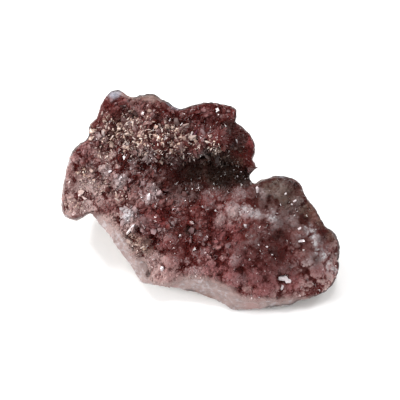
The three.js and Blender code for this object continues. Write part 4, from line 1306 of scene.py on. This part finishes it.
def makeSingles():
    print("setting the single bright crystals")
    draw = np.random.default_rng(singles["seed"])
    across, up, length, radius, turn, lean, violet = np.array(singles["places"]).T
    foot = np.stack([across, up, atGrid(bedTop, across, up) + radius * singles["raised"]], 1)
    shaft, tip = (length * share for share in singles["shares"])
    large = longPoints(foot, lyingAxis(foot, turn, lean), radius, shaft, tip, draw)
    small = grow(sparkles, sparklesWanted)
    count, size = small[0].shape[:2]
    print(f"  {count} sparkles")
    piece = joinCrystals("brightPoints", [(*large, np.ones(len(foot)), foot), small], makeSingleMaterial())
    violet = np.concatenate([violet, np.zeros(count)])
    giveAttributes(piece.data, {"violet": np.repeat(violet, size)})
    return piece


def grainsWanted(across, up):
    notThin = 1 - grains["fewer"]["thin"] * atGrid(thin, across, up)
    notSmooth = 1 - grains["fewer"]["smooth"] * tintAt("smooth", across, up)
    return notThin * notSmooth * (smoothPatch(across, up) < 0.4)


def growGrains():
    foot, size, draw = scatter(grains, grainsWanted)
    across, up = foot[:, 0], foot[:, 1]
    axis = tilted(surfaceNormal(foot), grains["tilt"], draw)
    radius = size * grains["radius"] * (1 - grains["smaller"] * atGrid(thin, across, up))
    height = radius * draw.uniform(*grains["height"], len(foot))
    tips = lowPoints(foot, axis, radius, height, radius * grains["sunk"], draw)
    coarse = tintAt("coarse", across, up)  # where they are fine they differ less from each other
    hue = 0.5 - 0.1 * coarse + draw.uniform(-0.5, 0.5, len(foot)) * (0.44 + 0.5 * coarse)
    return (*tips, hue, foot)


def pointsWanted(across, up):
    notSmooth = 1 - points["fewer"]["smooth"] * tintAt("smooth", across, up)
    return tintAt("coarse", across, up) * notSmooth * (1 - atGrid(thin, across, up))


def shardsWanted(across, up):
    golden, coarse = shards["wanted"]
    return tintAt("gold", across, up) ** golden + coarse * tintAt("coarse", across, up)


spike = {  # the dark point that sticks out of the broken edge
    "foot": (15.7, 10.2),
    "axis": (0.99, 0.01, 0.1),
    "below": 0.4,  # mm under the bare rock's level
    "radius": 1.7,
    "height": 2.6,
    "sunk": 0.6,
    "hue": 0.2,
    "tintedAs": (14.8, 14.4),  # the place on the crust whose colours it takes
    "seed": 5,
}


def growSpike():
    across, up = (np.array([place]) for place in spike["foot"])
    foot = np.stack([across, up, atGrid(bareTop, across, up) - spike["below"]], 1)
    sizes = [np.array([spike[name]]) for name in ("radius", "height", "sunk")]
    draw = np.random.default_rng(spike["seed"])
    cone = lowPoints(foot, unit(np.array([spike["axis"]])), *sizes, draw)
    return (*cone, np.array([spike["hue"]]), onFlat(*([place] for place in spike["tintedAs"])))


regions = {  # each becomes two pieces
    "names": ("wall", "middle", "mound"),
    "slant": 0.18,  # of the line under the wall
    "wallFrom": 8.5,  # mm up, at the middle of the face
    "moundFrom": 1.5,  # mm across
}


def regionOf(foot):
    across, up = foot[:, 0], foot[:, 1]
    underWall = np.where(across < regions["moundFrom"], 1, 2)
    return np.where(across * regions["slant"] + up > regions["wallFrom"], 0, underWall)


def makeCrystals():
    print("growing the crystals")
    pointMaterial = makeCrystalMaterial("garnetQuartzPoints", quartz["pointShine"])
    grainMaterial = makeCrystalMaterial("garnetQuartzGrains", quartz["grainShine"])
    kinds = [growGrains(), growSpike(), grow(points, pointsWanted), grow(shards, shardsWanted)]
    for i, name in ((0, "grains"), (2, "points"), (3, "shards")):
        print(f"  {len(kinds[i][0])} {name}")
    pieces = []
    for region, name in enumerate(regions["names"]):
        sorts = []
        for corners, faces, tip, hue, foot in kinds:
            here = regionOf(foot) == region
            sorts.append((corners[here], faces, tip, hue[here], foot[here]))
        pieces.append(joinCrystals(name + "Grains", sorts[:2], grainMaterial))
        pieces.append(joinCrystals(name + "Crystals", sorts[2:], pointMaterial))
    return pieces


view = {
    "azimuth": 0,
    "elevation": 55,
    "distance": 0.6,  # m
    "frameWidth": 0.1255,  # what the frame spans at the face, m
    "aim": (0, -0.0060, 0.0260),
    "sensor": 36,
}


def makeCamera():
    print("setting the camera")
    azimuth, elevation = math.radians(view["azimuth"]), math.radians(view["elevation"])
    flat = math.cos(elevation)
    away = Vector((math.sin(azimuth) * flat, -math.cos(azimuth) * flat, math.sin(elevation)))
    lens = bpy.data.cameras.new("camera")
    lens.sensor_width = view["sensor"]
    lens.lens = view["sensor"] * view["distance"] / view["frameWidth"]
    lens.clip_start = 0.01
    camera = linked("camera", lens)
    camera.location = Vector(view["aim"]) + away * view["distance"]
    camera.rotation_euler = (-away).to_track_quat("-Z", "Y").to_euler()
    bpy.context.scene.camera = camera


studio = {
    "floorHalf": 3,  # m
    "floor": 0.9,  # its lightness
    "floorRoughness": 0.7,
    "cloudy": 0.985,  # how dark its faint clouds are
    "sky": 0.62,  # strength of the even light
    "lamps": [  # name, place, size, power
        ("backLeft", (-0.26, 0.22, 0.42), 0.12, 1.5),
        ("back", (0.04, 0.32, 0.42), 0.12, 0.6),
        ("backRight", (0.34, 0.14, 0.4), 0.1, 0.5),
        ("above", (0.08, -0.02, 0.7), 0.08, 0.9),
        ("left", (-0.48, -0.14, 0.3), 0.2, 3.2),
        ("right", (0.46, -0.3, 0.16), 0.2, 1.1),
    ],
    "lampsAimAt": (0, 0, 0.02),
}


def makeStudio():
    print("laying the floor and lighting it")
    half = studio["floorHalf"]
    corners = np.array([(-half, -half, 0), (half, -half, 0), (half, half, 0), (-half, half, 0)], float)
    material, tree, shader = newMaterial("paleFloor")
    tone = studio["floor"]
    cloudy = mixColours(cloudNoise(tree, 60, 3), (tone * studio["cloudy"],) * 3, (tone,) * 3)
    feed(shader.inputs["Base Color"], cloudy)
    shader.inputs["Roughness"].default_value = studio["floorRoughness"]
    newPiece("floor", corners, [(0, 1, 2, 3)], material, False)
    world = bpy.data.worlds.new("studio")
    world.use_nodes = True
    background = world.node_tree.nodes["Background"]
    background.inputs["Color"].default_value = (1, 1, 1, 1)
    background.inputs["Strength"].default_value = studio["sky"]
    bpy.context.scene.world = world
    for name, place, size, power in studio["lamps"]:
        light = bpy.data.lights.new(name, "AREA")
        light.size = size
        light.energy = power
        lamp = linked(name, light)
        lamp.location = place
        way = Vector(studio["lampsAimAt"]) - Vector(place)
        lamp.rotation_euler = way.to_track_quat("-Z", "Y").to_euler()
    bpy.context.scene.view_settings.view_transform = "Standard"


makeCamera()
makeStudio()
rockPiece = makeRock()
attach(rockPiece, "root")
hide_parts("quartz_rock")
for piece in [makeBed(), makeSingles()] + makeCrystals():
    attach(piece, "root")
    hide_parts("crystal_crust")
